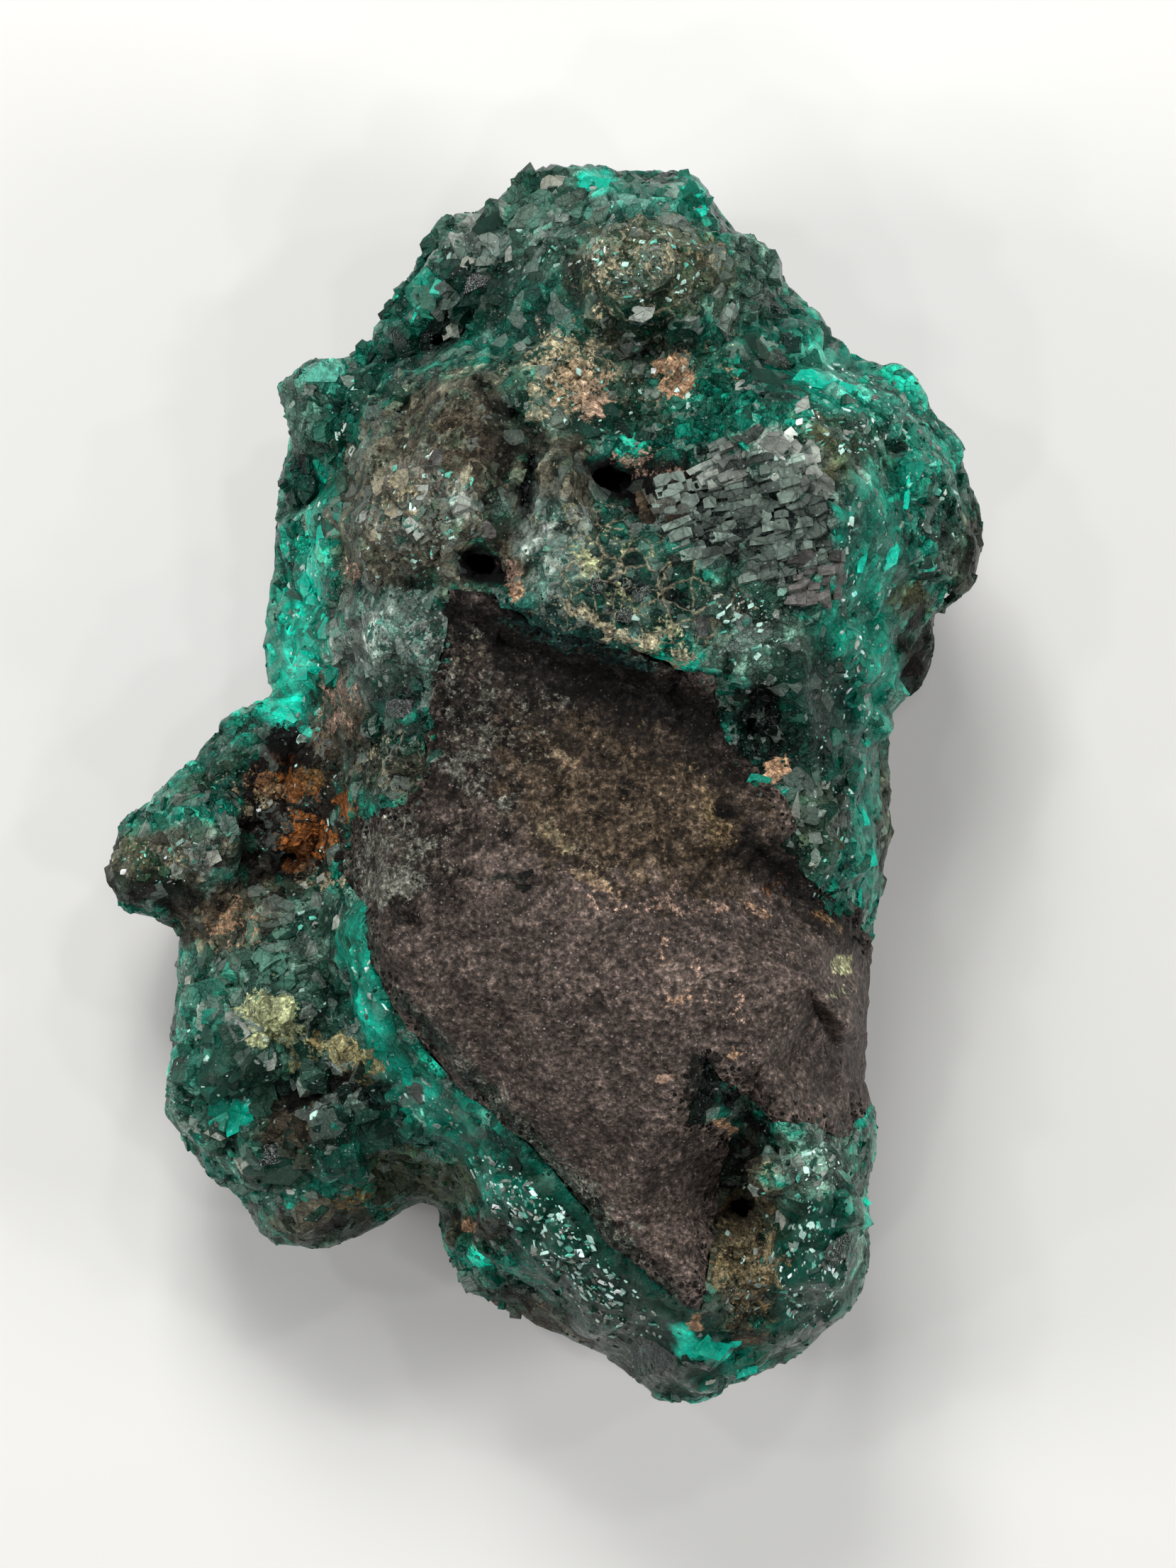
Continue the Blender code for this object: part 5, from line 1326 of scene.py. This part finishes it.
class Cluster:
    """A joined mesh of many crystals, each painted like the ground that it stands on."""

    def __init__(self, seed):
        self.mesh = bmesh.new()
        self.random = random.Random(seed)
        self.places = []
        self.counts = []
        self.tints = []
        self.shades = []
        self.tree = surface_tree()
        self.crust_faces = len(bpy.data.objects["crystal_crust"].data.polygons)
        self.templates = {
            "prism": [prism_template()],
            "block": [block_template("block", 0.22, (0.62, 0.5, 0.62)),
                      block_template("split block", 0.1, (0.8, -0.6, 0.3))],
            "slab": [block_template("slab", 0.04, (0.85, 0.75, 0.1)),
                     block_template("chipped slab", -0.06, (0.7, -0.8, 0.25))],
            "grain": [grain_template()],
        }

    def add(self, kind, place, axis, turn, size, tint=None, spread=0.3):
        """One more crystal, its own z along the axis."""
        data = self.random.choice(self.templates[kind]).copy()
        side = Vector((1.0, 0.0, 0.0)) if abs(axis.x) < 0.9 else Vector((0.0, 1.0, 0.0))
        across = (side - axis * side.dot(axis)).normalized()
        basis = Matrix((across, axis.cross(across), axis)).transposed().to_4x4()
        pose = Matrix.Translation(place) @ basis @ Matrix.Rotation(turn, 4, "Z")
        data.transform(pose @ Matrix.Diagonal((*size, 1.0)))
        self.mesh.from_mesh(data)
        self.places.append(place[:])
        self.counts.append(len(data.vertices))
        self.tints.append(tint)
        self.shades.append(math.exp(self.random.gauss(0.0, spread)))
        bpy.data.meshes.remove(data)

    def ground(self, x, y):
        """Place and normal of the upper surface at a point, or nothing in a pit or off the edge."""
        if any(math.hypot(x - pit_x, y - pit_y) < reach for pit_x, pit_y, reach in PIT_MOUTHS):
            return None
        place, normal, _, _ = self.tree.ray_cast(Vector((x, y, ABOVE)), Vector((0.0, 0.0, -1.0)))
        if place is None or place.z < LOWEST_GROUND:
            return None
        return place, normal

    def on_rock(self, x, y):
        """Whether the upper surface at a point belongs to the rock."""
        index = self.tree.ray_cast(Vector((x, y, ABOVE)), Vector((0.0, 0.0, -1.0)))[2]
        return index is not None and index >= self.crust_faces

    def random_axis(self, normal, wobble):
        """The normal, leaning by a random amount."""
        rng = self.random
        lean = Vector((rng.uniform(-1, 1), rng.uniform(-1, 1), rng.uniform(-1, 1)))
        return (normal + lean * wobble).normalized()

    def stand(self, kind, place, normal, size, stand, wobble, tint=None, spread=0.3):
        """A crystal that stands out of the ground by a share of its size."""
        rng = self.random
        axis = self.random_axis(normal, wobble)
        turn = 9.0 * noise.noise(place * 0.35) + rng.uniform(-0.5, 0.5)
        if kind == "prism":
            shape = (size * rng.uniform(0.5, 0.8), size * rng.uniform(0.5, 0.7), size * 1.1)
            sink = size * (1.4 - 1.6 * stand)
        elif kind == "block":
            wide, deep, high = rng.uniform(0.8, 1.2), rng.uniform(0.45, 0.9), rng.uniform(0.6, 0.9)
            shape = (size * wide, size * deep, size * high)
            sink = shape[2] - stand * size * 0.6
        else:
            shape = (size, size * rng.uniform(0.6, 1.0), size * rng.uniform(0.6, 1.0))
            sink = size * (0.6 - stand * 0.6)
        self.add(kind, place - axis * sink, axis, turn, shape, tint, spread)

    def scatter(self, field):
        """The crystals of one oval field, on the upper side of the crust."""
        x, y, half_width, half_length, turn, kind, count, small, large, stand, wobble = field
        rng = self.random
        for spot in oval_spots(rng, x, y, half_width, half_length, turn, count):
            found = self.ground(*spot)
            if found is None:
                continue
            upward = min(max(1.7 * found[1].z, 0.3), 1.0)
            size = (small + (large - small) * rng.random() ** 1.8) * upward
            self.stand(kind, *found, size, stand * upward, wobble * upward)

    def finish(self, name, finish_name="dioptase crystals"):
        """Close the cluster as a piece with one of the crystal finishes."""
        for group in self.templates.values():
            for data in group:
                bpy.data.meshes.remove(data)
        paint = painted(np.array(self.places), "sea green", CRUST_PATCHES)
        for index, tint in enumerate(self.tints):
            if tint:
                colour, *finish = TINTS[tint]
                paint["tint"][index] = linear(colour)
                paint["finish"][index] = (*finish, 0.0)
                paint["stain"][index, 3] *= 0.3
        paint["tint"] = np.clip(paint["tint"] * np.array(self.shades)[:, None], 0.0, 0.8)
        self.vary(paint)
        for label in paint:
            paint[label] = np.repeat(paint[label], self.counts, axis=0)
        return finish_piece(name, self.mesh, crystal_material(finish_name), paint)

    def vary(self, paint):
        """Make some of the painted crystals deeper in colour, some silvery as a painted reflection and some
        bright as a painted glow.
        """
        silver_sheen = linear(PAINTED_SILVER_SHEEN)
        for index, tint in enumerate(self.tints):
            chance = self.random.random()
            if tint is not None:
                continue
            red, green, _ = paint["tint"][index]
            silvery_chance = 0.5 if 1.2 * red < green < 5.0 * red else 0.4
            if chance < DEEP_CHANCE:
                paint["tint"][index] *= np.array((0.2, 0.5, 0.45)) if green > red else 0.4
                paint["finish"][index, 0] *= 0.6
            elif chance < silvery_chance:
                paint["tint"][index] += (silver_sheen - paint["tint"][index]) * 0.75
                paint["stain"][index, 3] *= 0.5
            elif chance < BRIGHT_CHANCE:
                # Painted glow: brighter and greener.
                paint["tint"][index] *= np.array((1.1, 1.4, 1.35))


# Settings.


class RockSettings(PropertyGroup):
    """Sizes of the bare rock."""

    edge: FloatProperty(name="Facet size", description="Longest edge of the rock's surface mesh",
                        default=0.36 * MM, min=0.2 * MM, unit="LENGTH")
    relief: FloatProperty(name="Relief", description="Height of the lumps on the rock face",
                          default=0.22 * MM, min=0.0, unit="LENGTH")
    softening: IntProperty(name="Softening", description="Rounds of smoothing of the rock's edges",
                           default=4, min=0)
    growth: FloatProperty(name="Growth", description="How far the rock grows into the seam",
                          default=0.24 * MM, min=0.0, unit="LENGTH")


class CrustSettings(PropertyGroup):
    """Sizes of the crystal crust."""

    edge: FloatProperty(name="Facet size", description="Longest edge of the crust's surface mesh",
                        default=0.37 * MM, min=0.2 * MM, unit="LENGTH")
    relief: FloatProperty(name="Relief", description="Depth of the broken facets",
                          default=0.75 * MM, min=0.0, unit="LENGTH")
    growth: FloatProperty(name="Growth", description="How far the crust grows into the seam",
                          default=0.22 * MM, min=0.0, unit="LENGTH")
    softening: IntProperty(name="Softening", description="Rounds of smoothing of the crust's edges",
                           default=6, min=0)
    # Painted shade: how strongly the painted tint darkens in hollows and lightens on raised spots.
    shading: FloatProperty(name="Hollow shading",
                           description="How much hollows darken, per millimetre of depth",
                           default=5.0, min=0.0)


class CrystalSettings(PropertyGroup):
    """Choices for the loose-standing crystals."""

    seed: IntProperty(name="Seed", description="Number that the scattered crystals follow", default=7)
    skin_count: IntProperty(name="Skin crystals", description="Crystals tried all over the crust",
                            default=9000, min=0)
    foot_count: IntProperty(name="Foot crystals", description="Crystals tried along the foot of the crust",
                            default=9000, min=0)


class StageSettings(PropertyGroup):
    """The camera, the lights and the floor."""

    lens: FloatProperty(name="Lens", description="Focal length of the camera in millimetres", default=200.0)
    frame_height: FloatProperty(name="Frame height", description="Height that the camera takes in",
                                default=73.73 * MM, unit="LENGTH")
    centre: FloatVectorProperty(name="Centre", description="Point that the camera looks at",
                                default=(2.15 * MM, 0.03 * MM, 12.0 * MM), subtype="TRANSLATION")
    floor_colour: FloatVectorProperty(name="Floor colour", description="Colour of the plain floor",
                                      default=(0.62, 0.615, 0.6), subtype="COLOR", min=0.0, max=1.0)
    key_power: FloatProperty(name="Key light", description="Power of the main softbox in watts",
                             default=1.25, min=0.0, unit="POWER")
    fill_power: FloatProperty(name="Fill lights", description="Power of each side softbox in watts",
                              default=0.62, min=0.0, unit="POWER")
    glint_power: FloatProperty(name="Glint lights", description="Power of each small light in watts",
                               default=0.09, min=0.0, unit="POWER")
    sky: FloatProperty(name="Sky", description="Strength of the even light from all round",
                       default=0.07, min=0.0)


# Operators.


class SPECIMEN_OT_rock(Operator):
    """Dress the host rock with its fine relief and painted zones"""

    bl_idname = "specimen.rock"
    bl_label = "Rock face"

    def execute(self, context):
        settings = context.scene.specimen_rock
        mesh = fine_copy("matrix_rock", "dioptase_mass", settings)
        paint = painted(coordinates(mesh), "purple brown", ROCK_PATCHES)
        dents = dent_depths(coordinates(mesh), ROCK_DENTS)
        relief = settings.relief / MM
        moved = []
        for vert, rough, dent in zip(mesh.verts, paint["finish"][:, 1], dents):
            place = vert.co
            lumps = noise.noise(place * 0.7) + 0.5 * noise.noise(place * 2.1) + 0.3 * noise.noise(place * 4.3)
            chips = broken_facet(place, 1.3)[0] + 0.5 * broken_facet(place, 0.6)[0]
            height = settings.growth / MM + relief * (lumps + (0.3 + 2.0 * rough) * chips)
            moved.append(vert.normal * (height - dent * max(vert.normal.z, 0.0)))
        for vert, shift in zip(mesh.verts, moved):
            resting = vert.co.z < 0.05
            vert.co += Vector((shift.x, shift.y, 0.0)) if resting else shift
            vert.co.z = max(vert.co.z, 0.0)
        # Painted shade: the tint darkens in hollows and lightens on raised spots, by how far each lies below
        # its surroundings.
        shade = np.exp(-3.0 * hollows(mesh, 3))
        paint["tint"] *= np.clip(shade, 0.5, 1.5)[:, None]
        for face in mesh.faces:
            face.material_index = 0
        piece = finish_piece("host_rock", mesh, rock_material(), paint, smooth=True)
        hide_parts("matrix_rock")
        return {"FINISHED"}


class SPECIMEN_OT_crust(Operator):
    """Dress the crystal mass with broken facets and painted patches"""

    bl_idname = "specimen.crust"
    bl_label = "Crystal crust"

    def execute(self, context):
        settings = context.scene.specimen_crust
        mesh = fine_copy("dioptase_mass", "matrix_rock", settings)
        paint = painted(coordinates(mesh), "sea green", CRUST_PATCHES)
        dents = dent_depths(coordinates(mesh), DENTS)
        relief = settings.relief / MM
        moved = []
        chances = []
        for vert, facets, dent in zip(mesh.verts, paint["finish"][:, 1], dents):
            place = vert.co
            large, first = broken_facet(place, 2.4)
            middle, second = broken_facet(place + Vector((9.0, 5.0, 1.0)), 1.15)
            small, _ = broken_facet(place + Vector((2.0, 8.0, 4.0)), 0.6)
            chips = 0.5 * large + 0.35 * middle + 0.16 * small
            shift = vert.normal * (settings.growth / MM + relief * chips * (0.35 + facets))
            moved.append(shift - Vector((0.0, 0.0, dent * max(vert.normal.z, 0.0))) + self.widening(place))
            chances.append((first.x, second.x, second.y))
        for vert, shift in zip(mesh.verts, moved):
            vert.co += shift
        round_dome(mesh)
        self.vary(paint, np.array(chances))
        # Painted shade: the tint darkens in hollows and lightens on raised spots, by how far each lies below
        # its surroundings.
        shade = np.exp(-settings.shading * hollows(mesh, 4))
        paint["tint"] *= np.clip(shade, 0.35, 1.6)[:, None]
        mesh.verts.index_update()
        for face in mesh.faces:
            face.material_index = 0
            face.smooth = bool(paint["finish"][face.verts[0].index, 1] < 0.45)
        material = crystal_material("dioptase crust")
        piece = finish_piece("crystal_crust", mesh, material, paint)
        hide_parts("dioptase_mass")
        return {"FINISHED"}

    def widening(self, place):
        """How far a place near a deep pit moves away from the pit's middle."""
        shift = Vector((0.0, 0.0, 0.0))
        for x, y, reach in PIT_MOUTHS:
            away = Vector((place.x - x, place.y - y, 0.0))
            distance = away.length
            if 0.05 < distance < 2.2 * reach and place.z > PIT_FLOOR:
                strength = reach * (0.4 + 0.7 * noise.noise(place * 0.9 + Vector((x, y, 0.0))))
                shift += away * (max(strength, 0.0) * (1.0 - distance / (2.2 * reach)) / distance)
        return shift

    def vary(self, paint, chances):
        """Give each broken facet a shade of its own, some deep and some frosted."""
        facets = paint["finish"][:, 1]
        shade = 1.7 * (chances[:, 0] - 0.5) + 1.3 * (chances[:, 1] - 0.5)
        paint["tint"] *= np.exp(shade * facets * 1.3)[:, None]
        deep = np.where(chances[:, 2] < 0.3, np.clip(1.3 * facets, 0.0, 1.0), 0.0)[:, None]
        paint["tint"] *= 1.0 - deep * np.array((0.75, 0.45, 0.5))
        frost = np.where(chances[:, 2] > 0.86, facets, 0.0)[:, None] * 0.7
        paint["tint"] += (linear(FROSTED) - paint["tint"]) * frost


class SPECIMEN_OT_skin(Operator):
    """Cover all sides of the crust with low crystals"""

    bl_idname = "specimen.skin"
    bl_label = "Crystal skin"

    def execute(self, context):
        settings = context.scene.specimen_crystals
        cluster = Cluster(settings.seed)
        rng = np.random.default_rng(settings.seed)
        mesh = bmesh.new()
        mesh.from_mesh(bpy.data.objects["crystal_crust"].data)
        areas = np.array([face.calc_area() for face in mesh.faces])
        mesh.faces.ensure_lookup_table()
        finish = mesh.verts.layers.float_color["finish"]
        picks = rng.choice(len(areas), settings.skin_count, p=areas / areas.sum())
        for pick in picks:
            face = mesh.faces[int(pick)]
            normal = face.normal.copy()
            place = face.calc_center_median() / MM
            if cluster.random.random() > 2.0 * face.verts[0][finish][1] ** 1.5:
                continue
            blocked = cluster.tree.ray_cast(place + normal * 0.05, normal, 6.0)[0]
            if normal.z < -0.5 or blocked is not None:
                continue
            if normal.z > 0.2 and cluster.ground(place.x, place.y) is None:
                continue
            size = 0.1 + (0.3 if normal.z > 0.4 else 0.15) * cluster.random.random() ** 2.5
            cluster.stand("block", place, normal, size, 0.2, 0.3, spread=0.5)
        mesh.free()
        cluster.finish("crystal_skin")
        return {"FINISHED"}


class SPECIMEN_OT_foot(Operator):
    """Let crystals hang over the foot of the crust onto the rock all round"""

    bl_idname = "specimen.foot"
    bl_label = "Foot crystals"

    def execute(self, context):
        settings = context.scene.specimen_crystals
        cluster = Cluster(settings.seed + 190)
        rng = cluster.random
        walls = [
            (face.center / MM, face.normal.copy())
            for face in bpy.data.objects["crystal_crust"].data.polygons
            if abs(face.normal.z) < 0.7 and face.center.z < FOOT_TOP * MM
        ]
        for _ in range(settings.foot_count):
            place, normal = rng.choice(walls)
            outward = Vector((normal.x, normal.y, 0.0)).normalized()
            lower = place - Vector((0.0, 0.0, 1.5 * rng.random() ** 1.5))
            found, across, index, _ = cluster.tree.ray_cast(lower + outward * 2.0, -outward)
            if found is None or index < cluster.crust_faces or abs(across.z) > 0.7:
                continue
            kind = rng.choice(("block", "grain"))
            cluster.stand(kind, found, across, 0.1 + 0.4 * rng.random() ** 2, 0.4, 0.6, spread=0.5)
        cluster.finish("foot_crystals")
        return {"FINISHED"}


class FieldOperator:
    """Shared work of the operators that scatter crystals over fields of the crust."""

    piece_name = ""
    fields = []

    def execute(self, context):
        settings = context.scene.specimen_crystals
        cluster = Cluster(settings.seed + len(self.piece_name))
        for field in self.fields:
            cluster.scatter(field)
        cluster.finish(self.piece_name)
        return {"FINISHED"}


class SPECIMEN_OT_dome(FieldOperator, Operator):
    """Crystals on the rounded upper end"""

    bl_idname = "specimen.dome"
    bl_label = "Dome crystals"
    piece_name = "dome_crystals"
    fields = DOME_FIELDS


class SPECIMEN_OT_nodule(FieldOperator, Operator):
    """Small crystals on the raised nodule"""

    bl_idname = "specimen.nodule"
    bl_label = "Nodule crystals"
    piece_name = "nodule_crystals"
    fields = NODULE_FIELDS


class SPECIMEN_OT_strip(FieldOperator, Operator):
    """Crystals down the left edge"""

    bl_idname = "specimen.strip"
    bl_label = "Left strip crystals"
    piece_name = "left_strip_crystals"
    fields = STRIP_FIELDS


class SPECIMEN_OT_shoulder(FieldOperator, Operator):
    """Crystals on the right shoulder and its knob"""

    bl_idname = "specimen.shoulder"
    bl_label = "Shoulder crystals"
    piece_name = "shoulder_crystals"
    fields = SHOULDER_FIELDS


class SPECIMEN_OT_flank(FieldOperator, Operator):
    """Crystals down the right flank"""

    bl_idname = "specimen.flank"
    bl_label = "Flank crystals"
    piece_name = "flank_crystals"
    fields = FLANK_FIELDS


class SPECIMEN_OT_lobe(FieldOperator, Operator):
    """Crystals on the lower left lobe"""

    bl_idname = "specimen.lobe"
    bl_label = "Lobe crystals"
    piece_name = "lobe_crystals"
    fields = LOBE_FIELDS


class SPECIMEN_OT_spur(FieldOperator, Operator):
    """Crystals on the left spur and in the rusty recess"""

    bl_idname = "specimen.spur"
    bl_label = "Spur crystals"
    piece_name = "spur_crystals"
    fields = SPUR_FIELDS


class SPECIMEN_OT_rim(FieldOperator, Operator):
    """Crystals of the green rim under the rock face"""

    bl_idname = "specimen.rim"
    bl_label = "Rim crystals"
    piece_name = "rim_crystals"
    fields = RIM_FIELDS


class SPECIMEN_OT_tip(FieldOperator, Operator):
    """Crystals at the lower tip and the bulge beside it"""

    bl_idname = "specimen.tip"
    bl_label = "Tip crystals"
    piece_name = "tip_crystals"
    fields = TIP_FIELDS


class SPECIMEN_OT_pocket(FieldOperator, Operator):
    """Small crystals lining the pocket"""

    bl_idname = "specimen.pocket"
    bl_label = "Pocket crystals"
    piece_name = "pocket_crystals"
    fields = POCKET_FIELDS


class SPECIMEN_OT_lump(FieldOperator, Operator):
    """Grains and blocks of the brown lump"""

    bl_idname = "specimen.lump"
    bl_label = "Lump crystals"
    piece_name = "lump_crystals"
    fields = LUMP_FIELDS


class SPECIMEN_OT_brow(FieldOperator, Operator):
    """Small crystals along the brow over the rock face"""

    bl_idname = "specimen.brow"
    bl_label = "Brow crystals"
    piece_name = "brow_crystals"
    fields = BROW_FIELDS


class SPECIMEN_OT_slabs(Operator):
    """Lay the beds of split slabs"""

    bl_idname = "specimen.slabs"
    bl_label = "Split slabs"

    def execute(self, context):
        cluster = Cluster(context.scene.specimen_crystals.seed + 50)
        for bed in SLAB_BEDS:
            self.lay(cluster, bed)
        cluster.finish("split_slabs", "split crystal")
        return {"FINISHED"}

    def lay(self, cluster, bed):
        """The slabs of one bed, in offset rows that lean the same way."""
        x, y, columns, rows, turn, along, across, lean_x, lean_y, tint, rise = bed
        rng = cluster.random
        angle = math.radians(turn)
        axis = Vector((lean_x, lean_y, 1.0)).normalized()
        for row in range(rows):
            shift = rng.uniform(0.0, 0.8) * along
            for column in range(columns):
                u = column * along + shift + rng.uniform(-0.08, 0.08) * along
                v = row * across + rng.uniform(-0.2, 0.2) * across
                px, py = turned(x, y, u, v, angle)
                found = cluster.ground(px, py)
                if found is None or rng.random() < 0.06:
                    continue
                height = found[0].z + rise * rng.uniform(0.2, 1.0) - 0.7
                size = (along * rng.uniform(0.34, 0.9), across * rng.uniform(0.4, 0.8), 0.7)
                lean = cluster.random_axis(axis, 0.2)
                twist = angle + rng.uniform(-0.14, 0.14)
                cluster.add("slab", Vector((px, py, height)), lean, twist, size, tint, 0.5)


class SPECIMEN_OT_landmarks(Operator):
    """Set the single crystals that stand out"""

    bl_idname = "specimen.landmarks"
    bl_label = "Single crystals"

    def execute(self, context):
        cluster = Cluster(context.scene.specimen_crystals.seed + 90)
        for kind, x, y, half_width, half_length, turn, tint in LANDMARKS:
            found = cluster.ground(x, y)
            if found is None:
                continue
            place, normal = found
            axis = cluster.random_axis(normal + Vector((0.0, 0.0, 1.0)), 0.25)
            depth = 0.7 * max(half_width, half_length)
            place = place - axis * (depth - 0.3 * min(half_width, half_length))
            cluster.add(kind, place, axis, math.radians(turn), (half_width, half_length, depth), tint, 0.05)
        cluster.finish("single_crystals")
        return {"FINISHED"}


class SPECIMEN_OT_flakes(Operator):
    """Strew small flakes painted bright as glints"""

    bl_idname = "specimen.flakes"
    bl_label = "Painted glint flakes"

    def execute(self, context):
        cluster = Cluster(context.scene.specimen_crystals.seed + 110)
        rng = cluster.random
        for x, y, half_width, half_length, turn, count, direction in GLINT_FLAKE_FIELDS:
            for spot in oval_spots(rng, x, y, half_width, half_length, turn, count):
                found = cluster.ground(*spot)
                if found is None:
                    continue
                place, normal = found
                length = 0.04 + 0.2 * rng.random() ** 3
                size = (length, length * rng.uniform(0.2, 0.8), 0.04)
                angle = math.radians(direction + rng.gauss(0.0, 30.0))
                axis = cluster.random_axis(normal, 0.4)
                # Flakes painted as glints, in pale tints.
                tint = rng.choice(("glint", "glint", "pale teal", "silver"))
                cluster.add("block", place, axis, angle, size, tint, 0.4)
        cluster.finish("bright_flakes")
        return {"FINISHED"}


class SPECIMEN_OT_clear(Operator):
    """Set the clear crystals"""

    bl_idname = "specimen.clear"
    bl_label = "Clear crystals"

    def execute(self, context):
        cluster = Cluster(context.scene.specimen_crystals.seed + 130)
        for x, y, half_width, half_length, turn in CLEAR_CRYSTALS:
            found = cluster.ground(x, y)
            if found is None:
                continue
            place, normal = found
            axis = cluster.random_axis(normal + Vector((0.0, 0.0, 1.0)), 0.2)
            size = (half_width, half_length, 0.6 * half_width)
            place = place - axis * 0.25 * half_width
            cluster.add("block", place, axis, math.radians(turn), size, "clear green", 0.1)
        cluster.finish("clear_crystals", "clear dioptase")
        return {"FINISHED"}


class SPECIMEN_OT_seam(Operator):
    """Close the seam between the crystals and the rock face with grains"""

    bl_idname = "specimen.seam"
    bl_label = "Seam grains"

    def execute(self, context):
        cluster = Cluster(context.scene.specimen_crystals.seed + 170)
        rng = cluster.random
        for start, end in zip(SEAM, SEAM[1:]):
            if start is None or end is None:
                continue
            start, end = Vector(start), Vector(end)
            side = (end - start).orthogonal().normalized()
            for _ in range(int((end - start).length * 20)):
                spot = start.lerp(end, rng.random()) + side * rng.gauss(0.0, 0.34)
                found = [cluster.ground(*(spot + side * reach)) for reach in (0.0, -0.4, 0.4)]
                if None in found:
                    continue
                place, normal = found[0]
                place.z = max(place.z, min(found[1][0].z, found[2][0].z) - 0.1)
                tint = None
                # Grains on the rock side take dark rock colours, among them the black of the painted shadow.
                if cluster.on_rock(*spot):
                    tint = rng.choice(("dark rock", "black rock", "dark brown"))
                cluster.stand("grain", place, normal, rng.uniform(0.08, 0.24), 0.2, 0.9, tint)
        cluster.finish("seam_grains")
        return {"FINISHED"}


class SPECIMEN_OT_stage(Operator):
    """Lay the floor and set the lights and the camera"""

    bl_idname = "specimen.stage"
    bl_label = "Stage"

    def execute(self, context):
        settings = context.scene.specimen_stage
        self.lay_floor(settings)
        self.set_camera(context, settings)
        self.set_lights(context, settings)
        return {"FINISHED"}

    def lay_floor(self, settings):
        """A plain pale floor at the height of the resting face."""
        mesh = bmesh.new()
        bmesh.ops.create_grid(mesh, x_segments=1, y_segments=1, size=1.5)
        data = bpy.data.meshes.new("floor")
        mesh.to_mesh(data)
        mesh.free()
        material = bpy.data.materials.new("pale floor")
        material.use_nodes = True
        shader = material.node_tree.nodes["Principled BSDF"]
        shader.inputs["Base Color"].default_value = (*settings.floor_colour, 1.0)
        shader.inputs["Roughness"].default_value = 0.8
        data.materials.append(material)
        floor = bpy.data.objects.new("floor", data)
        bpy.context.scene.collection.objects.link(floor)

    def set_camera(self, context, settings):
        """A long lens that looks straight down."""
        data = bpy.data.cameras.new("camera")
        data.lens = settings.lens
        data.sensor_width = 36.0
        distance = settings.lens * settings.frame_height / data.sensor_width
        data.clip_start = 0.01
        camera = bpy.data.objects.new("camera", data)
        camera.location = Vector(settings.centre) + Vector((0.0, 0.0, distance))
        context.scene.collection.objects.link(camera)
        context.scene.camera = camera

    def set_lights(self, context, settings):
        """A large softbox beyond the far end, one on each side, small lights and an even sky."""
        self.add_softbox("key", (-0.05, 0.26, 0.3), 0.14, settings.key_power)
        self.add_softbox("left fill", (-0.3, 0.0, 0.22), 0.14, settings.fill_power)
        self.add_softbox("right fill", (0.3, -0.04, 0.2), 0.12, settings.fill_power)
        for index in range(8):
            angle = index * 0.785 + 0.3
            reach = 0.16 if index % 2 else 0.26
            place = (reach * math.cos(angle), reach * math.sin(angle), 0.34)
            self.add_softbox(f"glint {index}", place, 0.02, settings.glint_power)
        world = bpy.data.worlds.new("studio")
        world.use_nodes = True
        background = world.node_tree.nodes["Background"]
        background.inputs["Color"].default_value = (1.0, 1.0, 1.0, 1.0)
        background.inputs["Strength"].default_value = settings.sky
        context.scene.world = world
        context.scene.view_settings.view_transform = "Standard"

    def add_softbox(self, name, place, size, power):
        """A square area light that faces the specimen."""
        data = bpy.data.lights.new(name, "AREA")
        data.size = size
        data.energy = power
        light = bpy.data.objects.new(name, data)
        light.location = place
        light.rotation_euler = Vector(place).to_track_quat("Z", "Y").to_euler()
        bpy.context.scene.collection.objects.link(light)


class SPECIMEN_PT_panel(Panel):
    """Lists the settings and the pieces"""

    bl_label = "Specimen"
    bl_idname = "SPECIMEN_PT_panel"
    bl_space_type = "VIEW_3D"
    bl_region_type = "UI"
    bl_category = "Specimen"

    def draw(self, context):
        for settings in SETTINGS:
            box = self.layout.box()
            for name in SETTINGS[settings].__annotations__:
                box.prop(getattr(context.scene, settings), name)
        for operator in PIECES:
            self.layout.operator(operator.bl_idname)


SETTINGS = {
    "specimen_rock": RockSettings,
    "specimen_crust": CrustSettings,
    "specimen_crystals": CrystalSettings,
    "specimen_stage": StageSettings,
}
PIECES = (
    SPECIMEN_OT_rock, SPECIMEN_OT_crust, SPECIMEN_OT_skin, SPECIMEN_OT_dome, SPECIMEN_OT_nodule,
    SPECIMEN_OT_strip, SPECIMEN_OT_shoulder, SPECIMEN_OT_flank, SPECIMEN_OT_lobe, SPECIMEN_OT_spur,
    SPECIMEN_OT_rim, SPECIMEN_OT_tip, SPECIMEN_OT_pocket, SPECIMEN_OT_lump, SPECIMEN_OT_brow,
    SPECIMEN_OT_slabs, SPECIMEN_OT_landmarks, SPECIMEN_OT_flakes, SPECIMEN_OT_clear, SPECIMEN_OT_seam,
    SPECIMEN_OT_foot, SPECIMEN_OT_stage,
)


def register():
    """Register the classes and hang the settings on the scene."""
    for kind in (*SETTINGS.values(), *PIECES, SPECIMEN_PT_panel):
        bpy.utils.register_class(kind)
    for name, kind in SETTINGS.items():
        setattr(bpy.types.Scene, name, PointerProperty(type=kind))


def unregister():
    """Take the settings and the classes away again."""
    for name in SETTINGS:
        delattr(bpy.types.Scene, name)
    for kind in reversed((*SETTINGS.values(), *PIECES, SPECIMEN_PT_panel)):
        bpy.utils.unregister_class(kind)


def main():
    """Build every piece and the stage."""
    register()
    for operator in PIECES:
        getattr(bpy.ops.specimen, operator.bl_idname.split(".")[1])()


if __name__ == "__main__":
    main()
